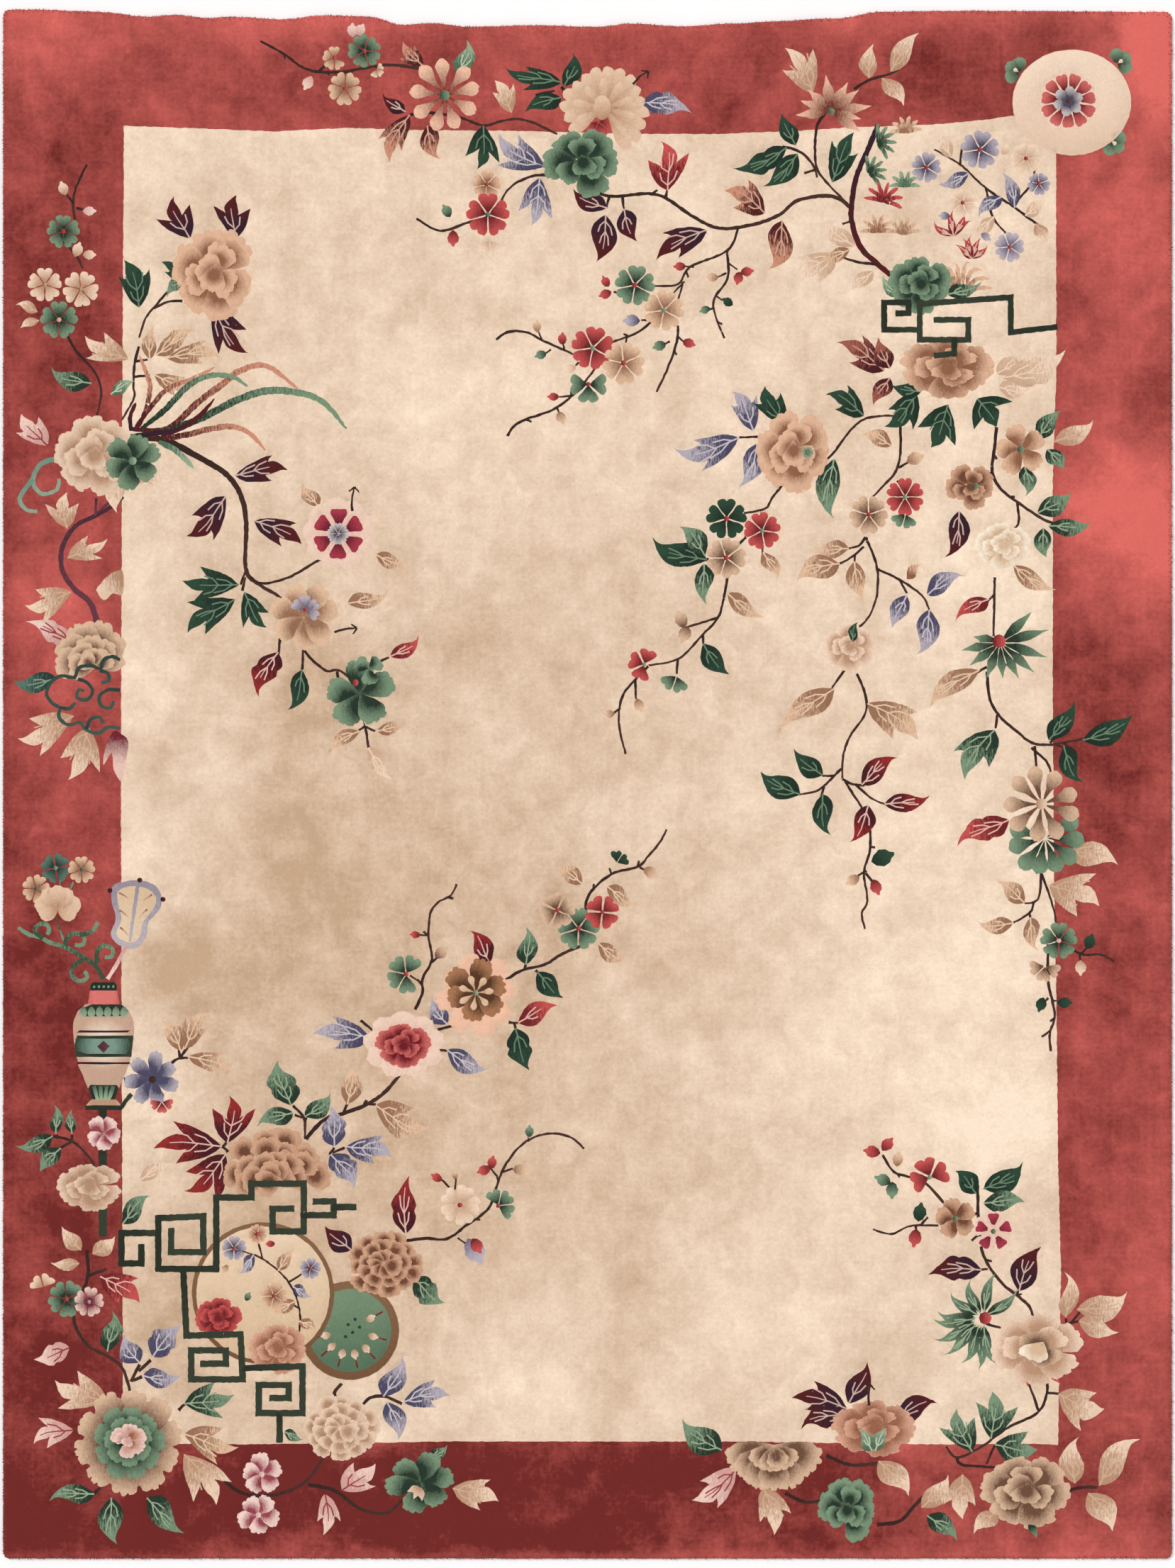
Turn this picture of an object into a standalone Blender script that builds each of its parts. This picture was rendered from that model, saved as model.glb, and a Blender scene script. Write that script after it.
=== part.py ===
"""Hand-knotted rug with a thick wool pile, lying flat on the floor. Metres, +Z up, pile side up.

The rug is one piece: the pile is knotted into its foundation, and no fringe or binding shows.
Its top end is a little short and lies in low ripples. The origin is under the middle, on the floor.
"""

import math
from collections import namedtuple

import bmesh
import bpy

# Sizes of the whole rug
WIDTH = 2.70
LENGTH = 3.58
FOUNDATION = 0.003
PILE = 0.010
THICKNESS = FOUNDATION + PILE

# The plain band round the field, from the rug's edge
BAND_SIDE = 0.27
BAND_TOP = 0.28
BAND_BOTTOM = 0.27

# How the pile rolls over at the edge: how far in from the outline, and how high, from the floor up
RimStep = namedtuple("RimStep", "inset height")
RIM = [
    RimStep(0.0050, 0.0000),
    RimStep(0.0012, 0.0028),
    RimStep(0.0000, 0.0060),
    RimStep(0.0014, 0.0092),
    RimStep(0.0056, 0.0118),
]
TOP_INSET = 0.013
CORNER_PULL = 0.004

# The top end, station by station: how much shorter the rug is there than its full length
EndStation = namedtuple("EndStation", "x short")
TOP_END = [
    EndStation(-1.35, 0.000),
    EndStation(-1.28, 0.000),
    EndStation(-1.14, 0.005),
    EndStation(-1.01, 0.017),
    EndStation(-0.95, 0.014),
    EndStation(-0.88, 0.020),
    EndStation(-0.82, 0.018),
    EndStation(-0.70, 0.023),
    EndStation(-0.62, 0.016),
    EndStation(-0.50, 0.018),
    EndStation(-0.43, 0.036),
    EndStation(-0.36, 0.033),
    EndStation(-0.28, 0.040),
    EndStation(-0.10, 0.038),
    EndStation(0.03, 0.040),
    EndStation(0.10, 0.034),
    EndStation(0.22, 0.039),
    EndStation(0.33, 0.034),
    EndStation(0.45, 0.027),
    EndStation(0.57, 0.022),
    EndStation(0.68, 0.005),
    EndStation(0.88, 0.003),
    EndStation(1.35, 0.006),
]

# The ripples that stand up from the floor along the top end, each running straight in from the edge
Ripple = namedtuple("Ripple", "x half_width lift reach")
RIPPLES = [
    Ripple(-0.95, 0.055, 0.006, 0.20),
    Ripple(-0.80, 0.050, 0.005, 0.16),
    Ripple(-0.58, 0.080, 0.010, 0.30),
    Ripple(-0.36, 0.055, 0.005, 0.18),
    Ripple(-0.14, 0.070, 0.006, 0.22),
    Ripple(0.10, 0.060, 0.007, 0.20),
    Ripple(0.33, 0.060, 0.005, 0.18),
    Ripple(0.52, 0.060, 0.006, 0.20),
]
RIPPLE_ZONE = 0.30

# Old fold lines in the face, as low soft ridges from one end to the other
Fold = namedtuple("Fold", "x0 y0 x1 y1 rise half_width")
FOLDS = [
    Fold(0.07, -0.35, 0.05, -1.42, 0.0016, 0.045),
    Fold(0.75, -0.50, 0.72, -0.92, 0.0014, 0.040),
]

# How the faces are spaced
COLUMN = 0.046
ROW = 0.110
RIPPLE_ROWS = (0.0, 0.03, 0.07, 0.12, 0.18, 0.24)

IVORY = (0.78, 0.61, 0.46, 1.0)
ROSE = (0.46, 0.10, 0.085, 1.0)
WOOL_ROUGHNESS = 0.95


def end_short(x):
    """How much shorter than its full length the rug is at x, along the top end."""
    for near, far in zip(TOP_END, TOP_END[1:]):
        if x <= far.x:
            share = max(0.0, (x - near.x) / (far.x - near.x))
            eased = share * share * (3 - 2 * share)
            return near.short + (far.short - near.short) * eased
    return TOP_END[-1].short


def plan(across, along, inset):
    """The point in plan at across from -1 to 1 and along from 0, the bottom end, to 1, with the outline inset."""
    half = WIDTH / 2 - inset
    x = across * half
    bottom = -LENGTH / 2 + inset
    top = LENGTH / 2 - end_short(across * WIDTH / 2) - inset
    y = bottom + along * (top - bottom)
    if abs(across) == 1 and along in (0.0, 1.0):
        x -= math.copysign(CORNER_PULL, across)
        y += CORNER_PULL if along == 0.0 else -CORNER_PULL
    return x, y


def lift(x, y):
    """How far the ripples raise the rug from the floor there."""
    from_end = LENGTH / 2 - end_short(x) - y
    height = 0.0
    for ripple in RIPPLES:
        if from_end >= ripple.reach:
            continue
        fade = math.cos(math.pi / 2 * max(0.0, from_end) / ripple.reach) ** 2
        height += ripple.lift * fade * math.exp(-(((x - ripple.x) / ripple.half_width) ** 2))
    return height


def fold_rise(x, y):
    """The height of the old fold lines in the face there."""
    rise = 0.0
    for fold in FOLDS:
        along_x, along_y = fold.x1 - fold.x0, fold.y1 - fold.y0
        length = math.hypot(along_x, along_y)
        share = ((x - fold.x0) * along_x + (y - fold.y0) * along_y) / length**2
        if not 0 < share < 1:
            continue
        aside = abs((x - fold.x0) * along_y - (y - fold.y0) * along_x) / length
        rise += fold.rise * math.sin(math.pi * share) * math.exp(-((aside / fold.half_width) ** 2))
    return rise


def spaced(start, end, step):
    """Evenly spaced values from start to end, no further apart than step."""
    count = max(1, math.ceil((end - start) / step))
    return [start + (end - start) * i / count for i in range(count + 1)]


def columns():
    """Where the columns of faces start and end, from -1 to 1, with lines at the field's sides."""
    band = 1 - BAND_SIDE / (WIDTH / 2)
    step = COLUMN / (WIDTH / 2)
    values = spaced(-1.0, -band, step) + spaced(-band, band, step)[1:] + spaced(band, 1.0, step)[1:]
    return values


def rows():
    """Where the rows of faces start and end, from 0 to 1, with lines at the field's ends and in the ripples."""
    field_start = BAND_BOTTOM / LENGTH
    ripple_start = 1 - RIPPLE_ZONE / LENGTH
    field_end = 1 - BAND_TOP / LENGTH
    values = spaced(0.0, field_start, ROW / LENGTH)
    values += spaced(field_start, ripple_start, ROW / LENGTH)[1:] + [field_end]
    values += [1 - depth / LENGTH for depth in reversed(RIPPLE_ROWS)]
    return values


def edge_indices(across_count, along_count):
    """The grid places round the edge, anticlockwise from the bottom left."""
    last_i, last_j = across_count - 1, along_count - 1
    edge = [(i, 0) for i in range(last_i)]
    edge += [(last_i, j) for j in range(last_j)]
    edge += [(i, last_j) for i in range(last_i, 0, -1)]
    edge += [(0, j) for j in range(last_j, 0, -1)]
    return edge


def wool(name, colour):
    """A matt wool material."""
    material = bpy.data.materials.new(name)
    material.use_nodes = True
    shader = material.node_tree.nodes["Principled BSDF"]
    shader.inputs["Base Color"].default_value = colour
    shader.inputs["Roughness"].default_value = WOOL_ROUGHNESS
    shader.inputs["Metallic"].default_value = 0.0
    return material


def in_field(centre):
    """Whether a face of the pile belongs to the light field."""
    return (
        abs(centre.x) < WIDTH / 2 - BAND_SIDE
        and -LENGTH / 2 + BAND_BOTTOM < centre.y < LENGTH / 2 - BAND_TOP
    )


def rug():
    """The whole rug: its face, its rolled edge and its flat back, as one closed body."""
    bm = bmesh.new()
    across, along = columns(), rows()
    edge = edge_indices(len(across), len(along))
    face = {}
    for i, u in enumerate(across):
        for j, v in enumerate(along):
            x, y = plan(u, v, TOP_INSET)
            face[i, j] = bm.verts.new((x, y, THICKNESS + lift(x, y) + fold_rise(x, y)))
    for i in range(len(across) - 1):
        for j in range(len(along) - 1):
            bm.faces.new((face[i, j], face[i + 1, j], face[i + 1, j + 1], face[i, j + 1]))

    rings = []
    for step in RIM:
        ring = []
        for i, j in edge:
            x, y = plan(across[i], along[j], step.inset)
            ring.append(bm.verts.new((x, y, step.height + lift(x, y))))
        rings.append(ring)
    rings.append([face[place] for place in edge])
    for lower, upper in zip(rings, rings[1:]):
        for k in range(len(edge)):
            after = (k + 1) % len(edge)
            bm.faces.new((lower[k], lower[after], upper[after], upper[k]))

    # The back is one flat face up to the ripples, and a grid under them
    under = {place: rings[0][k] for k, place in enumerate(edge)}
    first_ripple_row = along.index(1 - RIPPLE_ZONE / LENGTH)
    for j in range(first_ripple_row, len(along) - 1):
        for i in range(1, len(across) - 1):
            x, y = plan(across[i], along[j], RIM[0].inset)
            under[i, j] = bm.verts.new((x, y, lift(x, y)))
    for j in range(first_ripple_row, len(along) - 1):
        for i in range(len(across) - 1):
            bm.faces.new((under[i, j], under[i, j + 1], under[i + 1, j + 1], under[i + 1, j]))
    last = len(across) - 1
    flat = [under[0, j] for j in range(first_ripple_row)]
    flat += [under[i, first_ripple_row] for i in range(last)]
    flat += [under[last, j] for j in range(first_ripple_row, 0, -1)]
    flat += [under[i, 0] for i in range(last, 0, -1)]
    bm.faces.new(flat)

    mesh = bpy.data.meshes.new("rug")
    bm.to_mesh(mesh)
    bm.free()
    mesh.materials.append(wool("rose_wool", ROSE))
    mesh.materials.append(wool("ivory_wool", IVORY))
    for polygon in mesh.polygons:
        polygon.material_index = int(in_field(polygon.center) and polygon.normal.z > 0)
    mesh.shade_smooth()
    body = bpy.data.objects.new("rug", mesh)
    bpy.context.collection.objects.link(body)
    return body


for old in list(bpy.data.objects):
    bpy.data.objects.remove(old)
rug()
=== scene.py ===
import math
import random
from collections import namedtuple

import bpy
import numpy as np
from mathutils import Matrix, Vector, kdtree
from mathutils.geometry import delaunay_2d_cdt


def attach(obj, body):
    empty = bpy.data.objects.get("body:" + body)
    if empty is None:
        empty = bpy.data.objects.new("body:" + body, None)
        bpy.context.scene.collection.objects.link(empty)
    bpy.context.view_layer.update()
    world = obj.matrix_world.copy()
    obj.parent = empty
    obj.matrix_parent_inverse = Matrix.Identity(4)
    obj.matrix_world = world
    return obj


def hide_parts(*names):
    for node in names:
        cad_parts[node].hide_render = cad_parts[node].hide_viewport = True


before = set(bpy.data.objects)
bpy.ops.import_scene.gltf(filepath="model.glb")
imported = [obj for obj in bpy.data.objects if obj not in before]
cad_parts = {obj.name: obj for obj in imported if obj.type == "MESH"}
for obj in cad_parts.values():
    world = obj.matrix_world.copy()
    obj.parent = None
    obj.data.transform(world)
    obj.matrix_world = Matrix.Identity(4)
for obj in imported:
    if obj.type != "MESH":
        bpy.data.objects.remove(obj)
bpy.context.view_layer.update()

# Looks of a hand-knotted rug with a flowered pile face. Metres, the CAD's frame, the pile face up.
# The face is one mesh: each flower, leaf and stem is a shape of its own in it, with its edge carved
# into the pile. The design is charted in centimetres from the rug's middle, +Y to the rippled end.

dice = random.Random(1925)

# The rug's sizes, as in the CAD
WIDTH = 2.70
LENGTH = 3.58
FOUNDATION = 0.003
THICKNESS = 0.013
CM = 0.01

# How the pile rolls over at the edge, from the face down: how far in from the outline, and how high
RimStep = namedtuple("RimStep", "inset height")
RIM = [
    RimStep(0.0130, 0.0130),
    RimStep(0.0090, 0.0127),
    RimStep(0.0056, 0.0118),
    RimStep(0.0028, 0.0104),
    RimStep(0.0010, 0.0084),
    RimStep(0.0000, 0.0062),
    RimStep(0.0010, 0.0042),
    RimStep(0.0030, 0.0031),
]
BACK_INSET = 0.0042
CORNER_PULL = 0.004
RIM_STEP = 0.013
RIM_ROUGH = 0.0007

# The top end, station by station: how much shorter the rug is there than its full length
EndStation = namedtuple("EndStation", "x short")
TOP_END = [EndStation(*row) for row in (
    (-1.35, 0.000), (-1.28, 0.000), (-1.14, 0.005), (-1.01, 0.017), (-0.95, 0.014), (-0.88, 0.020),
    (-0.82, 0.018), (-0.70, 0.023), (-0.62, 0.016), (-0.50, 0.018), (-0.43, 0.036), (-0.36, 0.033),
    (-0.28, 0.040), (-0.10, 0.038), (0.03, 0.040), (0.10, 0.034), (0.22, 0.039), (0.33, 0.034),
    (0.45, 0.027), (0.57, 0.022), (0.68, 0.005), (0.88, 0.003), (1.35, 0.006),
)]

# The ripples that stand up from the floor along the top end
Ripple = namedtuple("Ripple", "x half_width lift reach")
RIPPLES = [
    Ripple(-0.95, 0.055, 0.006, 0.20),
    Ripple(-0.80, 0.050, 0.005, 0.16),
    Ripple(-0.58, 0.080, 0.010, 0.30),
    Ripple(-0.36, 0.055, 0.005, 0.18),
    Ripple(-0.14, 0.070, 0.006, 0.22),
    Ripple(0.10, 0.060, 0.007, 0.20),
    Ripple(0.33, 0.060, 0.005, 0.18),
    Ripple(0.52, 0.060, 0.006, 0.20),
]

# Old fold lines in the face, as low soft ridges
Fold = namedtuple("Fold", "x0 y0 x1 y1 rise half_width")
FOLDS = [
    Fold(0.07, -0.35, 0.05, -1.42, 0.0016, 0.045),
    Fold(0.75, -0.50, 0.72, -0.92, 0.0014, 0.040),
]

# How the face is made: the carving along each motif's edge, and how closely its points stand
CARVE_DEPTH = 0.0022
CARVE_HALF = 0.0040
SHALLOW = 0.5
OUTLINE_STEP = 0.0075
KNOT_SLIP = 0.0006
GRID_STEP = 0.040
GRID_SLIP = 0.010
SWELL = 0.0005

# Where the field's edge runs, in centimetres: corners and stations, anticlockwise from the bottom left
FIELD_EDGE = [
    (-107.2, -152.2), (-80, -152.5), (-30, -151.8), (30, -151.8), (45, -152.0), (80, -152.5),
    (102, -152.3), (108.6, -152.6), (109.3, -113), (108.6, -86), (108.2, -48), (107.7, -22),
    (107.4, 17), (107.4, 70), (108.2, 95), (108.2, 145), (108.0, 155.0), (98, 154.3), (92, 153.4),
    (82, 152.4), (75, 152.0), (62, 151.7), (50, 150.9), (30, 150.1), (13, 150.1), (-16, 150.8),
    (-40, 151.0), (-55, 151.5), (-72, 150.7), (-85, 151.2), (-107.0, 152.0), (-107.2, 120),
    (-107.5, 60), (-107.7, 0), (-107.5, -60),
]

# The dyed wools: the colour at a shape's base, the colour at its tip, and its veins, as screen colours
Dye = namedtuple("Dye", "base tip vein")
DYES = {
    "field": Dye((200, 167, 137), (252, 229, 205), None),
    "border": Dye((113, 39, 36), (222, 107, 99), None),
    "pine": Dye((32, 48, 38), (46, 72, 55), (104, 130, 104)),
    "green": Dye((38, 54, 42), (122, 146, 118), (150, 168, 138)),
    "mint": Dye((80, 108, 84), (150, 170, 142), (184, 196, 166)),
    "leek": Dye((60, 78, 60), (118, 144, 116), None),
    "maroon": Dye((52, 30, 42), (84, 28, 30), (206, 172, 160)),
    "crimson": Dye((70, 26, 32), (146, 44, 44), (222, 180, 166)),
    "rose": Dye((112, 34, 38), (196, 82, 80), (226, 176, 160)),
    "rust": Dye((80, 30, 32), (204, 142, 116), (206, 160, 138)),
    "tan": Dye((152, 110, 84), (224, 186, 154), (226, 194, 164)),
    "brown": Dye((110, 76, 58), (216, 180, 150), (226, 194, 166)),
    "coral": Dye((142, 96, 70), (222, 178, 147), None),
    "copper": Dye((152, 98, 74), (212, 160, 134), None),
    "pale": Dye((204, 168, 140), (238, 210, 184), (236, 206, 180)),
    "cream": Dye((186, 144, 116), (236, 206, 180), (206, 170, 142)),
    "ivory": Dye((178, 138, 110), (228, 198, 172), (204, 170, 142)),
    "blush": Dye((206, 158, 148), (236, 202, 188), (150, 58, 66)),
    "magenta": Dye((112, 34, 50), (230, 192, 180), (238, 208, 194)),
    "blue": Dye((76, 72, 96), (180, 170, 180), (200, 190, 194)),
    "lavender": Dye((112, 104, 128), (188, 176, 184), None),
    "teal": Dye((38, 58, 52), (88, 118, 104), (130, 152, 134)),
    "pond": Dye((88, 114, 90), (116, 138, 110), None),
    "fret": Dye((42, 48, 38), (54, 62, 48), None),
    "rush": Dye((46, 64, 58), (66, 86, 76), None),
    "bark": Dye((54, 36, 32), (72, 46, 40), None),
    "plum": Dye((72, 42, 52), (104, 56, 66), None),
    "halo": Dye((228, 188, 170), (236, 204, 184), None),
    "claret": Dye((112, 26, 36), (206, 104, 98), None),
    "dove": Dye((76, 72, 88), (196, 188, 186), None),
    "peach": Dye((116, 56, 44), (236, 188, 160), None),
    "almond": Dye((190, 148, 118), (226, 192, 163), None),
    "moon": Dye((228, 198, 172), (240, 213, 190), None),
    "sienna": Dye((72, 28, 32), (160, 92, 80), (206, 160, 138)),
    "mist": Dye((152, 142, 152), (184, 174, 178), None),
    "glaze": Dye((234, 210, 188), (196, 160, 138), None),
    "band": Dye((122, 150, 132), (52, 68, 58), None),
    "orchid": Dye((150, 66, 78), (238, 206, 196), None),
    "bronze": Dye((84, 54, 36), (166, 116, 82), None),
    "cocoa": Dye((112, 70, 50), (204, 158, 128), None),
    "surf": Dye((112, 142, 124), (140, 162, 140), None),
    "husk": Dye((216, 186, 152), (230, 202, 172), None),
    "collar": Dye((216, 116, 110), (120, 30, 34), None),
    "milk": Dye((214, 182, 150), (247, 230, 208), None),
    "wine": Dye((86, 20, 36), (166, 56, 72), None),
    "rim": Dye((118, 84, 58), (132, 98, 70), None),
    "dusk": Dye((112, 30, 32), (136, 44, 42), None),
}

# A leaf's edge on one side of its midrib: how far along it, how far out as a share of half its width, and
# whether it turns sharply there
EdgePoint = namedtuple("EdgePoint", "along out sharp", defaults=(False,))
LEAF_FORMS = {
    "oval": [(0, 0, True), (.08, .40), (.22, .82), (.38, 1), (.56, .84), (.72, .50), (.86, .20),
             (1, 0, True)],
    "wavy": [(0, 0, True), (.08, .40), (.20, .80), (.32, .90), (.40, .80), (.50, .98), (.62, .78), (.74, .42),
             (.87, .18), (1, 0, True)],
    "lobed": [(0, 0, True), (.08, .32), (.20, .64), (.34, .82), (.48, .96), (.68, 1.06, True), (.60, .76),
              (.57, .50, True), (.68, .52), (.80, .36), (.91, .15), (1, 0, True)],
    "maple": [(0, 0, True), (.08, .28), (.20, .60), (.34, .84), (.48, 1.02), (.70, 1.22, True), (.61, .74),
              (.54, .40, True), (.66, .46), (.78, .36), (.90, .16), (1, 0, True)],
    "trident": [(0, 0, True), (.08, .30), (.20, .62), (.34, .88), (.50, 1.06), (.75, 1.26, True), (.63, .72),
                (.53, .34, True), (.64, .42), (.76, .36), (.88, .17), (1, 0, True)],
}
VEIN = 0.0038
VEIN_FROM = 0.045

PETAL_STEP = 0.0066

# A petal's edge on one side: how far along it, and how far out as a share of its width
PETAL_FORMS = {
    "heart": [(.07, 0), (.13, .06), (.34, .21), (.56, .37), (.74, .46), (.88, .44), (.97, .32), (1.0, .18),
              (.95, .07), (.86, 0)],
    "fan": [(0, 0), (.14, .18), (.34, .40), (.52, .53), (.66, .60), (.76, .56), (.82, .50), (.90, .50),
            (.96, .38), (.97, .24), (.94, .16), (1.0, .08), (1.0, 0)],
    "round": [(0, 0), (.14, .26), (.34, .44), (.56, .53), (.74, .50), (.84, .44), (.92, .30), (1.0, .16),
              (.99, 0)],
    "wedge": [(.34, 0), (.36, .08), (.60, .20), (.84, .30), (.96, .26), (1.0, .10), (.97, 0)],
    "spoon": [(.05, 0), (.28, .09), (.48, .17), (.66, .33), (.80, .40), (.92, .30), (1.0, .08), (1.0, 0)],
    "strap": [(.08, 0), (.30, .17), (.56, .33), (.78, .40), (.93, .28), (1.0, 0)],
    "point": [(.06, 0), (.24, .30), (.44, .48), (.60, .44), (.80, .20), (1.0, 0)],
}


def end_short(x):
    """How much shorter than its full length the rug is at x, along the top end."""
    for near, far in zip(TOP_END, TOP_END[1:]):
        if x <= far.x:
            share = max(0.0, (x - near.x) / (far.x - near.x))
            eased = share * share * (3 - 2 * share)
            return near.short + (far.short - near.short) * eased
    return TOP_END[-1].short


def lift(x, y):
    """How far the ripples raise the rug from the floor there."""
    from_end = LENGTH / 2 - end_short(x) - y
    height = 0.0
    for ripple in RIPPLES:
        if from_end >= ripple.reach:
            continue
        fade = math.cos(math.pi / 2 * max(0.0, from_end) / ripple.reach) ** 2
        height += ripple.lift * fade * math.exp(-(((x - ripple.x) / ripple.half_width) ** 2))
    return height


def fold_rise(x, y):
    """The height of the old fold lines in the face there."""
    rise = 0.0
    for fold in FOLDS:
        along_x, along_y = fold.x1 - fold.x0, fold.y1 - fold.y0
        length = math.hypot(along_x, along_y)
        share = ((x - fold.x0) * along_x + (y - fold.y0) * along_y) / length**2
        if not 0 < share < 1:
            continue
        aside = abs((x - fold.x0) * along_y - (y - fold.y0) * along_x) / length
        rise += fold.rise * math.sin(math.pi * share) * math.exp(-((aside / fold.half_width) ** 2))
    return rise


def swell(x, y):
    """The slow unevenness of a pile that has been walked on, a fraction of a millimetre."""
    waves = math.sin(9.1 * x + 4.3 * y) + math.sin(-6.2 * x + 11.7 * y + 1.3) + math.sin(23 * x + 17 * y)
    return SWELL * waves * 0.5


def edge_loop(inset, slip=0.0):
    """The rug's outline in plan, that far in, anticlockwise from the bottom left corner."""
    half = WIDTH / 2
    across = [-1 + 2 * i / round(WIDTH / RIM_STEP) for i in range(round(WIDTH / RIM_STEP) + 1)]
    along = [j / round(LENGTH / RIM_STEP) for j in range(round(LENGTH / RIM_STEP) + 1)]
    places = [(u, 0.0) for u in across[:-1]] + [(1.0, v) for v in along[:-1]]
    places += [(u, 1.0) for u in across[:0:-1]] + [(-1.0, v) for v in along[:0:-1]]
    loop = []
    for u, v in places:
        x = u * (half - inset)
        bottom = -LENGTH / 2 + inset
        top = LENGTH / 2 - end_short(u * half) - inset
        y = bottom + v * (top - bottom)
        if abs(u) == 1 and v in (0.0, 1.0):
            x -= math.copysign(CORNER_PULL, u)
            y += CORNER_PULL if v == 0.0 else -CORNER_PULL
        loop.append((x + dice.uniform(-slip, slip), y + dice.uniform(-slip, slip)))
    return loop


def pairs(numbers):
    """x, y, x, y in centimetres as points in metres."""
    return [(x * CM, y * CM) for x, y in zip(numbers[::2], numbers[1::2])]


def walked(numbers):
    """Points in metres from x, y in centimetres, then each next point as its step from the last."""
    x, y = numbers[:2]
    points = [(x * CM, y * CM)]
    for across, up in zip(numbers[2::2], numbers[3::2]):
        x, y = round(x + across, 2), round(y + up, 2)
        points.append((x * CM, y * CM))
    return points


def through(points, step, closed=False):
    """A smooth line through the points, as evenly spaced points about step apart."""
    points = [np.array(point, float) for point in points]
    last = len(points) - 1
    spans = range(last + 1) if closed else range(last)
    line = []
    for i in spans:
        if closed:
            a, b, c, d = (points[(i + k) % (last + 1)] for k in (-1, 0, 1, 2))
        else:
            a, b, c, d = points[max(i - 1, 0)], points[i], points[i + 1], points[min(i + 2, last)]
        count = max(1, round(float(np.linalg.norm(c - b)) / step))
        for k in range(count):
            t = k / count
            line.append(0.5 * (2 * b + (c - a) * t + (2 * a - 5 * b + 4 * c - d) * t * t
                               + (3 * b - a - 3 * c + d) * t**3))
    if not closed:
        line.append(points[-1])
    return line


def stepped(outline, step=OUTLINE_STEP, slip=KNOT_SLIP):
    """The closed outline with a point each step, every one slipped a little, as the knots' corners are."""
    result = []
    for a, b in zip(outline, list(outline[1:]) + [outline[0]]):
        count = max(1, round(math.dist(a, b) / step))
        for k in range(count):
            t = k / count
            x, y = a[0] + (b[0] - a[0]) * t, a[1] + (b[1] - a[1]) * t
            result.append((x + dice.uniform(-slip, slip), y + dice.uniform(-slip, slip)))
    return result


def slipped(outline, slip=KNOT_SLIP):
    """The outline with each point slipped a little."""
    return [(x + dice.uniform(-slip, slip), y + dice.uniform(-slip, slip)) for x, y in outline]


def turning(outline):
    """Twice the outline's area, positive if it runs anticlockwise."""
    return sum(a[0] * b[1] - b[0] * a[1] for a, b in zip(outline, list(outline[1:]) + [outline[0]]))


Shape = namedtuple("Shape", "layer outline dye start axis carve group vein spot")

# How far out in a spotted shape its ring of extra points stands, as a share of the spot's radius
SPOT_RING = 0.55

# What lies over what, from the lowest up
GROUND, BACKDROP, STALKS, FOLIAGE, BLOOM, LATTICE, CREST = range(7)


class Design:
    """The coloured shapes of the face. A later one lies over an earlier one of its own layer."""

    def __init__(self):
        self.shapes = []
        self.groups = 0
        self.spots = []

    def group(self):
        """A number for shapes that run into each other with no carving between them."""
        self.groups += 1
        return self.groups

    def add(self, layer, outline, dye, start, tip, carve=CARVE_DEPTH, group=None, vein=False, spot=0.0):
        """One shape, whose colour runs from the dye's base at start to its tip at tip. With a spot radius, it
        runs from its base at start to its tip that far all round."""
        axis = np.array(tip, float) - np.array(start, float)
        axis = axis / max(float(axis @ axis), 1e-8)
        outline = outline if turning(outline) > 0 else outline[::-1]
        group = self.group() if group is None else group
        self.shapes.append(Shape(layer, outline, dye, tuple(start), tuple(axis), carve, group, vein, spot))
        if spot:
            far = spot * SPOT_RING
            self.spots += [tuple(start)] + [(start[0] + far * math.cos(a), start[1] + far * math.sin(a))
                                            for a in (2 * math.pi * k / 6 for k in range(6))]

    def in_order(self):
        """The shapes from the lowest up."""
        return sorted(self.shapes, key=lambda shape: shape.layer)


design = Design()


def out_at(form, share):
    """How far out a form's edge stands at that share of its length."""
    for near, far in zip(form, form[1:]):
        if near.along <= share <= far.along:
            return near.out + (far.out - near.out) * (share - near.along) / max(far.along - near.along, 1e-6)
    return 0.0


def smooth_runs(points, sharp):
    """A line through the points that is smooth but at the sharp ones."""
    line, run = [], [points[0]]
    for point, corner in zip(points[1:], sharp[1:]):
        run.append(point)
        if corner:
            line += through(run, OUTLINE_STEP)[:-1]
            run = [point]
    return line + [points[-1]]


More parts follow.
